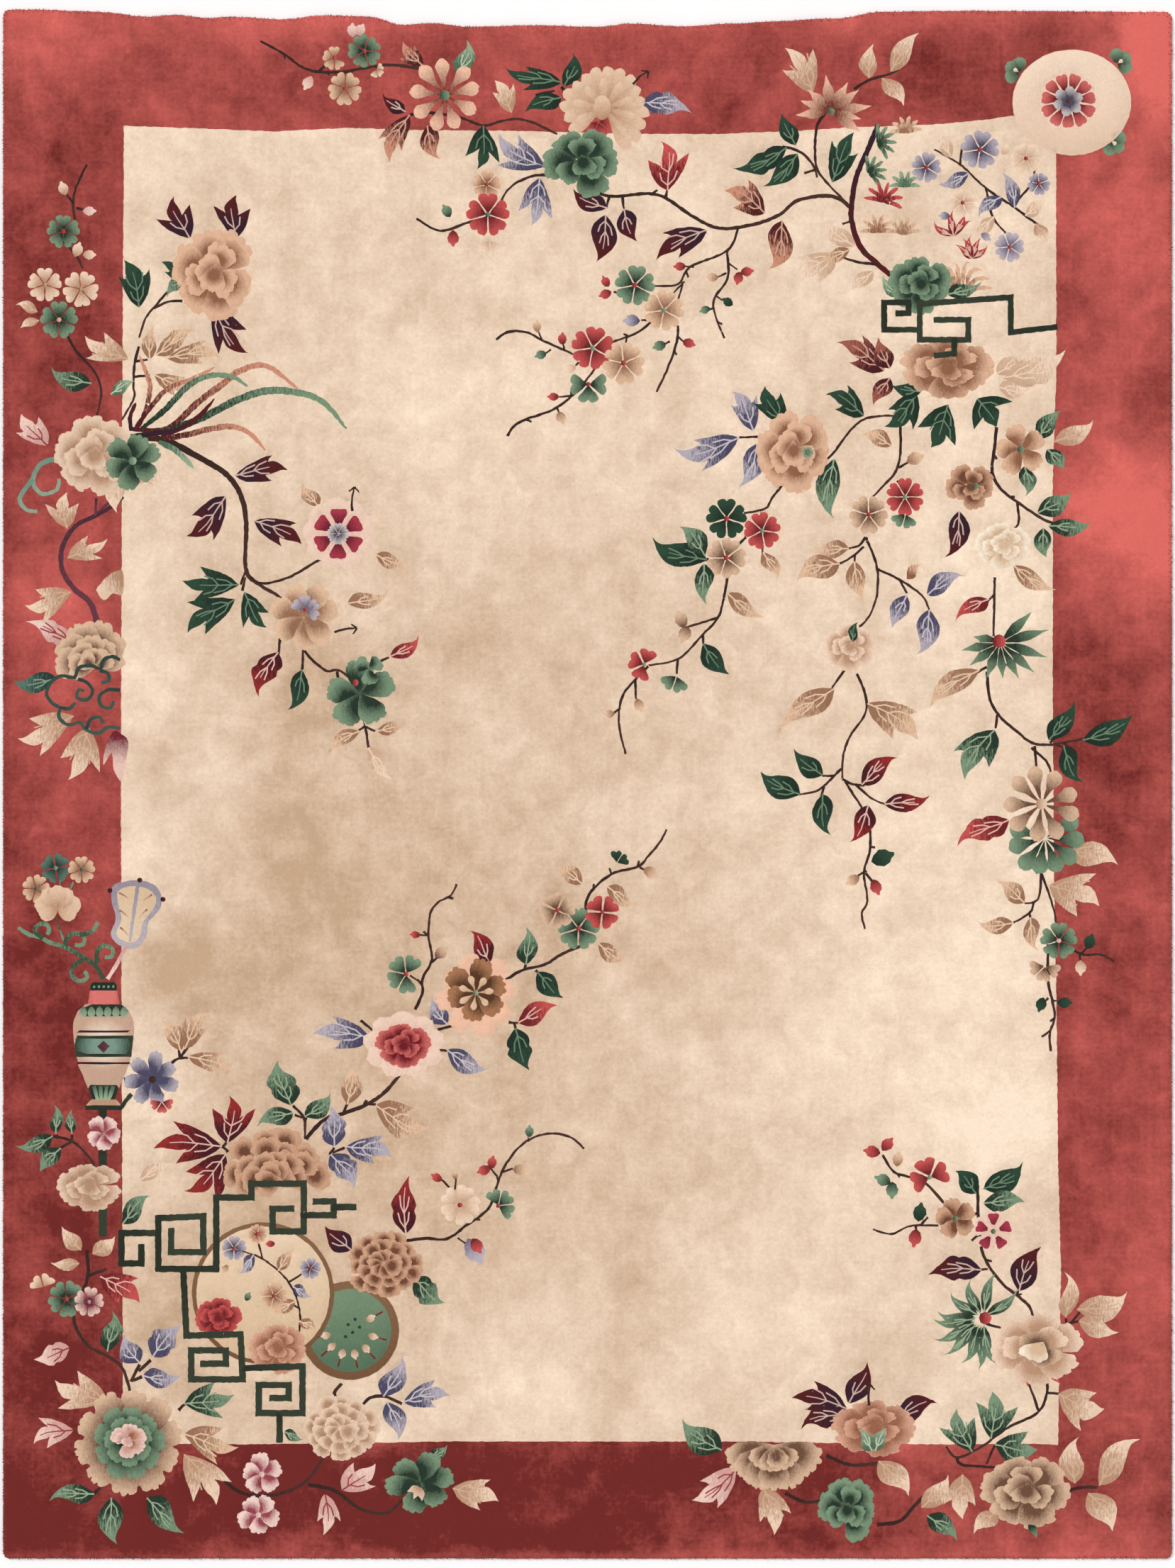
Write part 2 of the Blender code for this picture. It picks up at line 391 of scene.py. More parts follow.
def leaf(base, tip, width, dye, form="oval", layer=FOLIAGE):
    """One leaf from its base to its tip, slightly bowed, with its midrib and forked veins."""
    base, tip = np.array(base, float), np.array(tip, float)
    length = float(np.linalg.norm(tip - base))
    ahead = (tip - base) / length
    aside = np.array([-ahead[1], ahead[0]])
    bend = dice.choice((-1, 1))
    bow, hook = bend * dice.uniform(0.0, 0.08), bend * dice.uniform(0.10, 0.34)
    outline_form = [EdgePoint(*point) for point in LEAF_FORMS[form]]
    shift = dice.choice((-1, 1)) * dice.uniform(0.02, 0.09)

    def place(t, out):
        off = 4 * bow * t * (1 - t) + hook * (t * t - t**5)
        return base + ahead * (length * t) + aside * (off * length + out)

    sharp = [point.sharp for point in outline_form]
    right = [place(t, -h * width / 2 * (1 + shift)) for t, h, _ in outline_form]
    left = [place(min(1.0, max(0.0, t + shift * math.sin(math.pi * t))), h * width / 2 * (1 - shift))
            for t, h, _ in outline_form]
    ring = slipped(smooth_runs(right, sharp)[:-1] + smooth_runs(left, sharp)[:0:-1])
    design.add(layer, ring, dye, place(0.08, 0), place(0.97, 0))
    if DYES[dye].vein is None or length < VEIN_FROM:
        return
    group = design.group()
    half = VEIN / 2
    rib_end = dice.uniform(0.62, 0.80)
    rib = [place(rib_end * k / 4, -half * (1 - 0.5 * k / 4)) for k in range(5)]
    rib += [place(rib_end * k / 4, half * (1 - 0.5 * k / 4)) for k in range(4, -1, -1)]
    design.add(layer, rib, dye, base, tip, carve=0.0, group=group, vein=True)
    for fork in ((0.12, 0.36) if length > 0.105 else (0.20,)):
        for side in (-1, 1):
            start = fork + dice.uniform(-0.03, 0.04)
            end = start + dice.uniform(0.24, 0.34)
            reach = out_at(outline_form, end) * width / 2 * dice.uniform(0.46, 0.60)
            elbow = place(start + (end - start) * 0.42, side * reach * 0.72)
            line = [place(start, 0), elbow, place(end, side * reach)]
            across = [np.array([-(b - a)[1], (b - a)[0]]) / max(np.linalg.norm(b - a), 1e-6)
                      for a, b in zip(line, line[1:] + line[-1:])][:2]
            across.append(across[-1])
            twig = [at - out * half * 0.85 for at, out in zip(line, across)]
            twig += [at + out * half * 0.85 for at, out in zip(line, across)][::-1]
            design.add(layer, twig, dye, base, tip, carve=0.0, group=group, vein=True)


def ribbon(points, width, end_width=None, dye="bark", layer=STALKS, carve=0.0, group=None, step=0.0075,
           belly=False, rough=0.0008):
    """A stem, blade or scroll along a smooth line. With belly, it is widest near its middle and ends thin."""
    line = through(points, step)
    end_width = width if end_width is None else end_width
    last = len(line) - 1
    right, left = [], []
    for i, centre in enumerate(line):
        ahead = line[min(i + 1, last)] - line[max(i - 1, 0)]
        ahead = ahead / max(float(np.linalg.norm(ahead)), 1e-9)
        aside = np.array([-ahead[1], ahead[0]])
        t = i / last
        wide = width + (end_width - width) * t
        if belly:
            wide = width * min(1.0, 0.55 + 2 * t) * (1 - 0.8 * t**7)
        half = max(0.0006, wide / 2)
        right.append(tuple(centre - aside * (half + dice.uniform(-rough, rough))))
        left.append(tuple(centre + aside * (half + dice.uniform(-rough, rough))))
    group = design.group() if group is None else group
    bands = 6 if dye != "bark" else 1
    edges = [round(last * k / bands) for k in range(bands + 1)]
    for k in range(bands):
        a, b = edges[k], edges[k + 1]
        if b <= a:
            continue
        start = line[a] - (line[b] - line[a]) * k
        end = line[a] + (line[b] - line[a]) * (bands - k)
        ring = right[a:b + 1] + left[a:b + 1][::-1]
        design.add(layer, ring, dye, start, end, carve, group)


def stem(numbers, width=0.7, end_width=0.5, dye="bark", spurs=True, layer=STALKS):
    """A twig along walked points, with the short spurs that a blossom branch has."""
    points = walked(numbers)
    group = STEM_GROUP[dye]
    ribbon(points, width * CM, end_width * CM, dye, layer, 0.0, group)
    if not spurs:
        return
    line = through(points, 0.01)
    for i in range(6, len(line) - 3, 11):
        if dice.random() < 0.45:
            continue
        ahead = line[i + 1] - line[i]
        ahead = ahead / float(np.linalg.norm(ahead))
        aside = np.array([-ahead[1], ahead[0]]) * dice.choice((-1, 1))
        reach = dice.uniform(0.009, 0.017)
        tip = line[i] + (ahead * 0.7 + aside * 0.7) * reach
        ribbon([line[i], tip], width * CM * 0.9, width * CM * 0.75, dye, layer, 0.0, group, step=0.006)


def petal(centre, angle, reach, width, form, dye, start=0.0, layer=BLOOM, squash=(1.0, 1.0), ripple=0.0,
          spot=0.0, lean=0.0):
    """One petal from a flower's centre outwards. start is where along it its colour begins to turn. With a
    spot, the colour turns all round that place, which lean sets off to one side."""
    ahead = np.array([math.cos(angle), math.sin(angle)])
    aside = np.array([-ahead[1], ahead[0]])
    squash = np.array(squash)
    centre = np.array(centre, float)

    def place(t, out):
        return centre + (ahead * (t * reach) + aside * out) * squash

    sides = []
    for side in (-1, 1):
        edge = [place(t * (1 + dice.uniform(-0.02, 0.02)),
                      side * h * width * (1 + dice.uniform(-ripple, ripple))) for t, h in PETAL_FORMS[form]]
        sides.append(through(edge, PETAL_STEP))
    ring = slipped(sides[0] + sides[1][-2:0:-1], min(KNOT_SLIP, reach * 0.02))
    design.add(layer, ring, dye, place(start, lean * width), place(1.0, 0), spot=spot * reach)


def blossom(x, y, radius, dye, petals=5, shown=None, turn=None, heart="rose", layer=BLOOM):
    """A plum blossom of notched petals round a heart. shown of them are drawn, anticlockwise from turn."""
    centre, radius = (x * CM, y * CM), radius * CM
    turn = dice.uniform(0, 2 * math.pi) if turn is None else math.radians(turn)
    wide = {4: 1.25, 5: 1.0, 6: 0.80, 7: 0.67}.get(petals, 0.58)
    for k in range(petals if shown is None else shown):
        petal(centre, turn + 2 * math.pi * k / petals, radius, radius * wide, "heart", dye, 0.14, layer)
    if heart:
        dot(x, y, max(0.5, radius / CM * 0.13), heart, layer)


def dot(x, y, radius, dye, layer=BLOOM, carve=0.0):
    """A small round spot, in centimetres."""
    ring = [((x + radius * math.cos(a)) * CM, (y + radius * math.sin(a)) * CM)
            for a in (2 * math.pi * k / 8 for k in range(8))]
    design.add(layer, stepped(ring), dye, ((x - radius) * CM, y * CM), ((x + radius) * CM, y * CM), carve)


def bud(x, y, radius, dye, angle=None, layer=BLOOM):
    """A round bud in centimetres, darker where it leaves its stalk."""
    angle = dice.uniform(0, 2 * math.pi) if angle is None else math.radians(angle)
    form = [(1.1, 0), (0.75, 0.50), (0.1, 0.80), (-0.5, 0.66), (-0.75, 0.30), (-1.15, 0.12)]
    ring = form + [(t, -h) for t, h in form[:0:-1]]
    ahead = (math.cos(angle), math.sin(angle))
    radius = radius * CM
    outline = [(x * CM + (ahead[0] * -t - ahead[1] * h) * radius,
                y * CM + (ahead[1] * -t + ahead[0] * h) * radius) for t, h in ring]
    root = (x * CM - ahead[0] * radius * 1.2, y * CM - ahead[1] * radius * 1.2)
    tip = (x * CM + ahead[0] * radius * 0.9, y * CM + ahead[1] * radius * 0.9)
    design.add(layer, stepped(outline), dye, root, tip, SHALLOW * CARVE_DEPTH)


# A full flower's petals: which way each stands in degrees, how far out it starts and ends, and its width
PeonyPetal = namedtuple("PeonyPetal", "angle near far wide")
PEONY = [PeonyPetal(*row) for row in (
    (205, .10, 1.00, .74), (262, .05, 1.04, .74), (318, .08, .96, .72), (20, .10, 1.02, .76),
    (84, .12, 1.00, .74), (146, .08, 1.04, .78), (172, .00, .74, .60), (50, .06, .70, .62),
    (300, -.05, .60, .60), (110, -.30, .50, .58), (240, -.24, .38, .56))]
PEONY_SPOT = 0.62


def peony(x, y, rx, ry, dye, turn=0.0, inner=None, heart=None, arc=(0, 360), layer=BLOOM, petals=6):
    """A full flower of lobed petals, each darkest where the next covers it. arc is the part shown."""
    rows = [row for row in PEONY if petals > 5 or row.angle not in (205, 110)]
    if petals > 6:
        rows.insert(0, PeonyPetal(352, .10, .98, .66))
    for k, row in enumerate(rows):
        angle = row.angle + turn + dice.uniform(-9, 9)
        late = k >= len(rows) - 3
        if not arc[0] <= angle % 360 <= arc[1] and not late:
            continue
        turned_way = math.radians(angle)
        root = ((x + math.cos(turned_way) * row.near * rx) * CM,
                (y + math.sin(turned_way) * row.near * ry) * CM)
        reach = rx * CM * (row.far - row.near) * dice.uniform(0.94, 1.04)
        petal_dye = (heart or inner or dye) if k == len(rows) - 1 else (inner or dye) if late else dye
        petal(root, turned_way, reach, rx * CM * row.wide, "fan", petal_dye, 0.40, layer, (1.0, ry / rx),
              0.05, PEONY_SPOT)


def mallow(x, y, radius, dye, petals=5, turn=0.0, wide=None, heart=None, squash=1.0, layer=BLOOM, start=0.30):
    """An open flower with one round of lobed petals, dark in the middle, in centimetres."""
    wide = wide or 3.7 / petals
    for k in range(petals):
        angle = math.radians(turn + 360 * k / petals + dice.uniform(-6, 6))
        reach = radius * CM * dice.uniform(0.90, 1.06)
        petal((x * CM, y * CM), angle, reach, radius * CM * wide, "fan", dye, start, layer, (1.0, squash),
              0.05, 0.74, 0.34)
    if heart:
        dot(x, y, radius * 0.14, heart, layer)


def scaled(x, y, rx, ry, dye, rows=3, arc=(8, 172)):
    """A flower of short petals that lie over each other like scales, over the arc in degrees."""
    for level in range(rows):
        share = 1 - level * 0.86 / rows
        count = max(2, round((arc[1] - arc[0]) / 31 * (0.30 + 0.70 * share)))
        for k in range(count + 1):
            way = arc[0] + (arc[1] - arc[0]) * (k + 0.5 * (level % 2)) / count
            angle = math.radians(way + dice.uniform(-8, 8))
            near = (share - 0.48) * dice.uniform(0.86, 1.08)
            root = ((x + math.cos(angle) * near * rx) * CM, (y + math.sin(angle) * near * ry) * CM)
            reach = 0.52 * rx * CM * dice.uniform(0.88, 1.08)
            petal(root, angle, reach, reach * dice.uniform(0.80, 0.98), "fan", dye, 0.50, BLOOM,
                  (1.0, ry / rx), 0.06, 0.50)


def aster(x, y, radius, dye, petals=9, wide=0.62, form="strap", heart="leek", turn=0.0, arc=360, layer=BLOOM,
          start=0.05):
    """A flower of long petals round a heart, in centimetres; arc is how far round it they go."""
    for k in range(petals):
        share = k / petals if arc == 360 else k / max(1, petals - 1)
        angle = math.radians(turn + arc * share + dice.uniform(-3, 3))
        reach = radius * CM * dice.uniform(0.93, 1.03)
        petal((x * CM, y * CM), angle, reach, radius * CM * wide, form, dye, start, layer)
    if heart:
        dot(x, y, radius * 0.15, heart, layer)


def spray(x, y, radius, dye, count, turn, arc, wide=0.26, layer=FOLIAGE, form="oval"):
    """Leaflets fanned out from one point, anticlockwise from turn over arc degrees."""
    for k in range(count):
        angle = math.radians(turn + arc * k / max(1, count - 1))
        reach = radius * CM * dice.uniform(0.86, 1.05)
        base = (x * CM + math.cos(angle) * reach * 0.14, y * CM + math.sin(angle) * reach * 0.14)
        tip = (x * CM + math.cos(angle) * reach, y * CM + math.sin(angle) * reach)
        leaf(base, tip, radius * wide * CM, dye, form, layer)


def sprig(x0, y0, x1, y1, dye="bark", layer=BLOOM):
    """A thin shoot with two small curled barbs at its tip, in centimetres."""
    root, tip = np.array([x0, y0]) * CM, np.array([x1, y1]) * CM
    ahead = (tip - root) / np.linalg.norm(tip - root)
    aside = np.array([-ahead[1], ahead[0]])
    group = design.group()
    bent = (root + tip) / 2 + aside * 0.003
    ribbon([root, bent, tip], 0.006, 0.0045, dye, layer, 0.0, group)
    for side in (-1, 1):
        barb = tip - ahead * 0.012 + aside * side * 0.012
        ribbon([tip, barb], 0.005, 0.003, dye, layer, 0.0, group, step=0.006)


def fret(numbers, width=1.5, dye="fret", layer=LATTICE, group=None, carve=CARVE_DEPTH):
    """A line of even width with square corners, along walked points."""
    points = [np.array(point) for point in walked(numbers)]
    half = width * CM / 2
    ends = [points[0] - points[1], points[-1] - points[-2]]
    points[0] = points[0] + ends[0] / np.linalg.norm(ends[0]) * half
    points[-1] = points[-1] + ends[1] / np.linalg.norm(ends[1]) * half
    right, left = [], []
    for i, point in enumerate(points):
        before = point - points[i - 1] if i else points[1] - point
        after = points[i + 1] - point if i + 1 < len(points) else before
        before, after = before / np.linalg.norm(before), after / np.linalg.norm(after)
        aside = np.array([-before[1] - after[1], before[0] + after[0]])
        aside = aside / np.linalg.norm(aside)
        reach = half / max(0.5, float(aside @ np.array([-before[1], before[0]])))
        right.append(tuple(point - aside * reach))
        left.append(tuple(point + aside * reach))
    ring = stepped(right + left[::-1], slip=KNOT_SLIP * 1.3)
    design.add(layer, ring, dye, points[0], points[-1], carve, group)


def patch(numbers, dye, layer, start=None, tip=None, smooth=True, carve=CARVE_DEPTH):
    """A shape inside a closed line through walked points."""
    outlined(walked(numbers), dye, layer, start, tip, smooth, carve)


def outlined(points, dye, layer, start, tip, smooth=True, carve=CARVE_DEPTH):
    """A shape inside a closed line through points in metres; its start and tip are in centimetres."""
    ring = through(points, OUTLINE_STEP, closed=True) if smooth else points
    start = points[0] if start is None else (start[0] * CM, start[1] * CM)
    tip = points[len(points) // 2] if tip is None else (tip[0] * CM, tip[1] * CM)
    design.add(layer, stepped([tuple(point) for point in ring]), dye, start, tip, carve)


def disc(x, y, rx, ry, dye, layer):
    """A round or oval shape, in centimetres."""
    around = [2 * math.pi * k / 16 for k in range(16)]
    points = [((x + rx * math.cos(a)) * CM, (y + ry * math.sin(a)) * CM) for a in around]
    outlined(points, dye, layer, (x, y - ry), (x, y + ry))


STEM_GROUP = {name: design.group() for name in ("bark", "plum", "leek", "maroon", "dusk", "teal", "fret")}

# The chart's rows, in centimetres: a leaf, from its base and how far across and up its tip stands from there;
# a bud; and a plum blossom
LeafRow = namedtuple("LeafRow", "x y across up width dye form", defaults=("oval",))
BudRow = namedtuple("BudRow", "x y radius dye angle", defaults=(None,))
BlossomRow = namedtuple("BlossomRow", "x y radius dye petals shown turn heart",
                        defaults=(5, None, None, "rose"))


def leaves(*rows, layer=FOLIAGE):
    """The chart's leaves."""
    for row in (LeafRow(*row) for row in rows):
        base, tip = walked((row.x, row.y, row.across, row.up))
        leaf(base, tip, row.width * CM, row.dye, row.form, layer)


def buds(*rows):
    """The chart's buds."""
    for row in (BudRow(*row) for row in rows):
        bud(*row)


def blossoms(*rows):
    """The chart's plum blossoms."""
    for row in (BlossomRow(*row) for row in rows):
        blossom(*row)


def stems(*rows, width=0.7, end_width=0.5, dye="bark", spurs=False):
    """Several twigs of one kind."""
    for row in rows:
        stem(row, width, end_width, dye, spurs)


def top_spray():
    """The flowering branch that crosses the top border into the field."""
    stem((-75.5, 171.5, 5.5, -3, 4, -3, 4, -1.2, 6, 0, 6, 1.2, 5, .5, 8.5, -1.2), 0.5, 0.8)
    stems(
        (-41, 154.5, 4, .5, 7, -1, 6, -2, 4, 1, 4, .5, 4, -1, 5, -2.5), (-62, 164.3, 2.5, 2.2),
        (-58, 164.3, 1, -2.3), (-52, 165, .5, 2), (-8, 140.5, -4, 0, -4, -1.5, -2.5, -2, -1.5, -2.5),
        (-12, 159, 4.5, 1), (-6, 161, 2.5, -3.5))
    stem((-39.5, 130.5, 5.5, -2.8, 6, 1.8, 4, 1), 0.5, 0.7)
    leaves(
        (-38, 165.8, -4.5, 5.7, 4.2, "rust", "lobed"), (-30, 164.2, 2, 7.8, 4.4, "mint"),
        (-42, 155.2, -5.3, 4.3, 3.4, "maroon"), (-41, 154.5, -4.5, -11, 5.6, "rust", "lobed"),
        (-37, 152, 3, -7.7, 4.8, "rust"), (-17.5, 155, -4, 7.5, 5, "cream", "lobed"),
        (-24, 152, -1.5, -10, 6.4, "pine", "trident"), (-10, 142.5, -10.5, 8, 7, "blue", "maple"),
        (-11, 140, -2, -11, 6.4, "blue", "trident"), (-6, 162, -13, 3.5, 5.2, "pine", "lobed"),
        (-5.5, 161, 2, 8, 4.2, "pine"), (-6, 158.5, -8.5, -3.5, 4.4, "pine"),
        (12.5, 157.5, 11.5, -2.5, 5.6, "blue", "wavy"))
    buds(
        (-64.5, 161.8, 1.6, "blush", 240), (-32.5, 132.3, 1.5, "green", 120), (-31, 126, 1.7, "rose", 270),
        (-54.2, 173.8, 1.5, "blush", 90), (-52.4, 174, 1.4, "blush", 60))
    blossoms(
        (-51.5, 169.2, 3.8, "green"), (-58.4, 167.4, 2.7, "tan", 5, 4, 90), (-56, 160.5, 3.8, "tan"),
        (-48.8, 164.9, 1.8, "cream", 5, 3, 250, None), (-23.3, 138.4, 3.2, "coral"),
        (-23, 131.5, 4.9, "rose", 5, 5, 90, "leek"), (-22.6, 125.6, 3, "pale", 5, 2, 235, None))
    aster(-33, 159, 8.4, "peach", 9, 0.50, "spoon", "leek", 12)
    chrysanthemum(4, 157.5, 9.6)
    peony(-1, 143.5, 8.8, 8, "green", 38, petals=5)
    sprig(10.5, 161.5, 14, 164.5)
    leaves(
        (18.5, 137, -1.5, 11.5, 8, "rose", "maple"), (4.5, 133, -7.8, 4.5, 4.8, "maroon"),
        (8.5, 132.7, 3, -7.4, 5, "maroon"), (4.2, 131.4, -2.1, -10.8, 6.2, "maroon"),
        (27.5, 127.9, -11.6, -6.9, 6.4, "maroon", "lobed"), (40.9, 131.8, -9.3, 5.2, 7, "rust", "lobed"),
        (44.9, 130.1, -3.1, -11.3, 6, "rust"), (52, 159.5, -6.5, 10.5, 7, "cream", "maple"),
        (48, 147.5, -3, 7.5, 4.2, "pine"), (46, 147, -12.5, -4.8, 5.2, "pine", "wavy"),
        (48.5, 145.5, -8, -7.5, 5.2, "pine"))
    stem(
        (0, 140, 2, -3, 3, -1.3, 5, .3, 4, .3, 4, -1, 6.5, -4.4, 6, -2.6, 7.8, .9, 6, 2.2, 4.4, 3.4, 7.7,
         .9, 4.3, -2.6), 0.7, 0.9)
    stems(
        (5, 135.7, -.6, -2.7), (8, 136, .4, -3.2), (18, 135.3, .4, 1.9), (45, 147.2, 4, -1.2, 3, -3, 1, -3))


def chrysanthemum(x, y, radius):
    """The full cream flower over the field's top edge, with long notched petals and a rose part low in it."""
    blossom(x - 1.5, y - 4.6, 3.4, "rose", 5, 3, 214, None)
    for k in range(8):
        angle = math.radians(-52 + 256 * k / 7)
        reach = radius * CM * (1.0 + 0.05 * math.sin(k * 2.3) + (0.12 if k == 0 else 0.0))
        petal((x * CM, (y - 1.5) * CM), angle, reach, 0.062, "heart", "almond", 0.1, BLOOM, (1.04, 1.0))
        petal(
            (x * CM, (y - 1.5) * CM), angle, reach * 0.74, 0.020, "strap", "almond", 0.0, BLOOM,
            (1.04, 1.0))
    disc(x - 0.6, y - 1.3, 2.0, 2.9, "almond", BLOOM)


def hanging_twigs():
    """The fine blossom twigs that hang into the upper middle of the field."""
    for row in (
        (34.9, 128.8, -2.6, -5.6, -8.7, -3.9, -2.6, -3.9, -5.6, -.4),
        (32.3, 122.3, 0, -5.6, -3.1, -4.8, .5, -4.3, 1.9, -4.7),
        (20.9, 105.9, -.3, -3.9, -2.1, -6, -2.6, -5.5), (15, 107, -3.5, -2.8, -6, -2.2),
        (-21.1, 102.6, 2.6, 1.7, 4.3, 0, 4.3, -2.1, 6.9, -3.1),
        (-18.5, 80.3, 1.5, 2.3, 2.8, 1.6, 6, 2.1, 4.4, 3.1, 3.8, 4.2, 2.4, 3.4),
    ):
        stem(row, 0.62, 0.5, spurs=True)
    stems(
        (24.6, 119.4, -2, .1), (32.1, 118, -2.1, -1), (32.3, 120.4, 2.3, -1.6), (29.8, 112.6, 1.4, -1),
        (29.3, 110, -1.3, -.5), (6, 113.6, 2, -.2), (15, 107, -2.6, .1), (19, 102.2, -1.4, -.8),
        (20.7, 103.4, 1.3, -1.2), (-10.6, 102.6, -.7, 1.8), (-5.3, 99.9, -.3, 1.7),
        (-8.4, 100.3, -1.4, -.9), (-2, 97.4, -.8, -.8), (-3.8, 89.6, -2.8, -.2), (-7, 86.8, .4, -1),
        (9.2, 103.4, -.8, -2.9), (22.4, 116, -3, -3), (22, 115.4, -1, -3.4), width=0.5, end_width=0.4)
    buds(
        (21.3, 119.5, 1.3, "rose", 180), (28.8, 117, 1.3, "tan", 180), (36.8, 118.3, 1.4, "rose", 10),
        (34.8, 116.8, 1.4, "rose", 260), (32.4, 111.3, 1.3, "pine"), (27.1, 109.5, 1.2, "green", 200),
        (4.2, 116, 1.3, "rose", 120), (4.1, 113.1, 1.4, "rose", 200), (10.2, 107, 1.8, "blue", 180),
        (16.6, 101.2, 1.5, "green", 200), (23.4, 101.8, 1.4, "rose", 340), (-11.6, 105.7, 1.3, "tan", 90),
        (-5.8, 102.8, 1.3, "rose", 90), (-10.8, 99.1, 1.3, "green", 200), (-4, 95.9, 1.3, "pale", 200),
        (-7.9, 89.4, 1.2, "rose", 180), (-6.1, 84.6, 1.4, "tan", 290))
    blossoms(
        (10.9, 115.2, 4.6, "green"), (17.6, 109.4, 4.6, "tan", 5, 5, 80, "mint"),
        (1.2, 100.7, 4.9, "rose", 5, 5, 80, "mint"), (8.3, 97.2, 4.8, "tan", 5, 5, 60),
        (0.2, 92.3, 4.2, "green", 4, 3, 180))


def top_right():
    """The lily, the leafy boughs, the cream medallion and the fan-leaved stems of the top right corner."""
    stems(
        (55, 155, -2, -3, -.5, -5, .5, -5, 3, -4, 4, -4), (61.5, 160.5, 3.5, 2, 5, 1.5, 2, 1),
        (53, 142, -3, -1), (56.4, 135.7, 3.6, -1.7))
    stem((67, 152, -2.5, -6, -2.5, -6, -1, -6, 0, -4, 2, -6, 4, -4, 3, -2.5), 1.2, 1.3, "maroon", False)
    stems((61, 130, -2.2, -.7), (67, 120, -5, .6, -4.7, 1.7), (63.5, 123, .7, -1))
    leaves(
        (65, 163, 1, 8, 4.2, "cream"), (70, 164.5, 6.5, 9, 4.6, "cream"), (68, 163, 5, -6.5, 4, "cream"),
        (56.5, 139, 5, 11.5, 6.4, "pine", "lobed"), (61.8, 124.2, -7.6, 6.6, 4.2, "pale"),
        (57.3, 122.3, -9.1, -6.9, 7, "pale", "lobed"), (66, 118.4, -6, -5.2, 3.4, "pale"),
        (60.6, 123.4, -7.2, -2, 3.2, "tan"))
    for x, y, radius, dye, count, turn, arc in (
        (67, 148, 4.4, "green", 6, -60, 150), (65, 141, 4.2, "green", 6, -50, 150),
        (73.5, 150.5, 3.8, "tan", 6, 10, 170), (68.3, 134.5, 4.6, "rose", 7, -20, 190),
        (73.2, 138, 3.6, "mint", 6, 0, 180), (67, 127.5, 4.2, "coral", 6, 0, 180),
        (73, 127, 4.2, "tan", 6, 10, 160),
    ):
        for k in range(count):
            angle = math.radians(turn + arc * k / (count - 1))
            end = (x + radius * math.cos(angle), y + radius * math.sin(angle))
            blade((x, y, (x + end[0]) / 2, (y + end[1]) / 2 + 0.3, *end), 0.85, dye, FOLIAGE)
    lily()
    for x, y, radius in ((84.5, 127.5, 5.2), (88.6, 122.3, 4.4)):
        for k in range(5):
            angle = math.radians(30 + 30 * k)
            tip = (x * CM + radius * CM * math.cos(angle), y * CM + radius * CM * math.sin(angle))
            leaf((x * CM, (y - 1) * CM), tip, 0.017, "rose", "oval", BLOOM)
    for k in range(8):
        angle = math.radians(25 + 18 * k)
        reach = 11 - abs(k - 3.5)
        blade(
            (86, 112, 86 + 0.55 * reach * math.cos(angle), 112 + 0.75 * reach * math.sin(angle),
             86 + reach * math.cos(angle) * 1.1, 112 + reach * math.sin(angle) * 0.8), 0.9, "coral",
            FOLIAGE)
    peony(77, 115.5, 7.2, 6.6, "green", 10, petals=7)
    leaves((83, 113, 8, 3, 3.6, "green"), (72, 112.5, -3.8, 5, 3.2, "mint"))
    garden_corner()


def lily():
    """The pale lily with long pointed petals in the top border."""
    for angle, reach, width in (
        (8, 9.6, 2.9), (-14, 7.2, 2.5), (-34, 8.6, 3.0), (160, 7.6, 2.6), (186, 8.2, 2.8), (136, 7.4, 2.9),
        (60, 7.8, 3.0), (38, 8.4, 2.8), (98, 8.6, 3.2),
    ):
        petal((0.562, 1.553), math.radians(angle), reach * CM, width * 0.84 * CM, "point", "peach", 0.05)
    dot(56.2, 155.3, 0.9, "leek")


def garden_corner():
    """Small generic sprays of blue, cream and rose blossom beside the medallion."""
    stems(
        (104, 129, -6, 4.5, -6, 4, -6, 5.5, -6, 3.5), (92, 137.5, 1.5, -6.5, 3, -3.8),
        (98, 133.5, 4, 4.5, 1.4, 4), (86, 143, .5, 4.8), width=0.6, end_width=0.45)
    leaves(
        (88, 141, -7, -2.6, 3.4, "blue"), (95.6, 135.6, -5.4, -5, 3.6, "blue"),
        (93.8, 131, -5.4, -5.2, 3.2, "pale"), (101, 131.2, 5, 3.4, 3.2, "pale"),
        (84, 144.6, -3.8, 5.6, 3.2, "pale"), (98.6, 133, -2.8, 8.2, 3.4, "blue"),
        (103.4, 129.4, 2.6, -4.8, 3.2, "cream"))
    blossoms(
        (90.6, 146.5, 4.4, "blue", 5, 5, 80, "rose"), (78.2, 142.4, 3.4, "blue"),
        (101.2, 144.4, 3.6, "pale"), (97.4, 124, 3.4, "lavender"), (86.6, 134.2, 3.2, "pale"),
        (104.2, 138.6, 2.6, "blue"))
    buds((96.4, 146.6, 1.3, "pale"), (82.4, 131.2, 1.2, "blue"), (92, 126.4, 1.2, "lavender"))


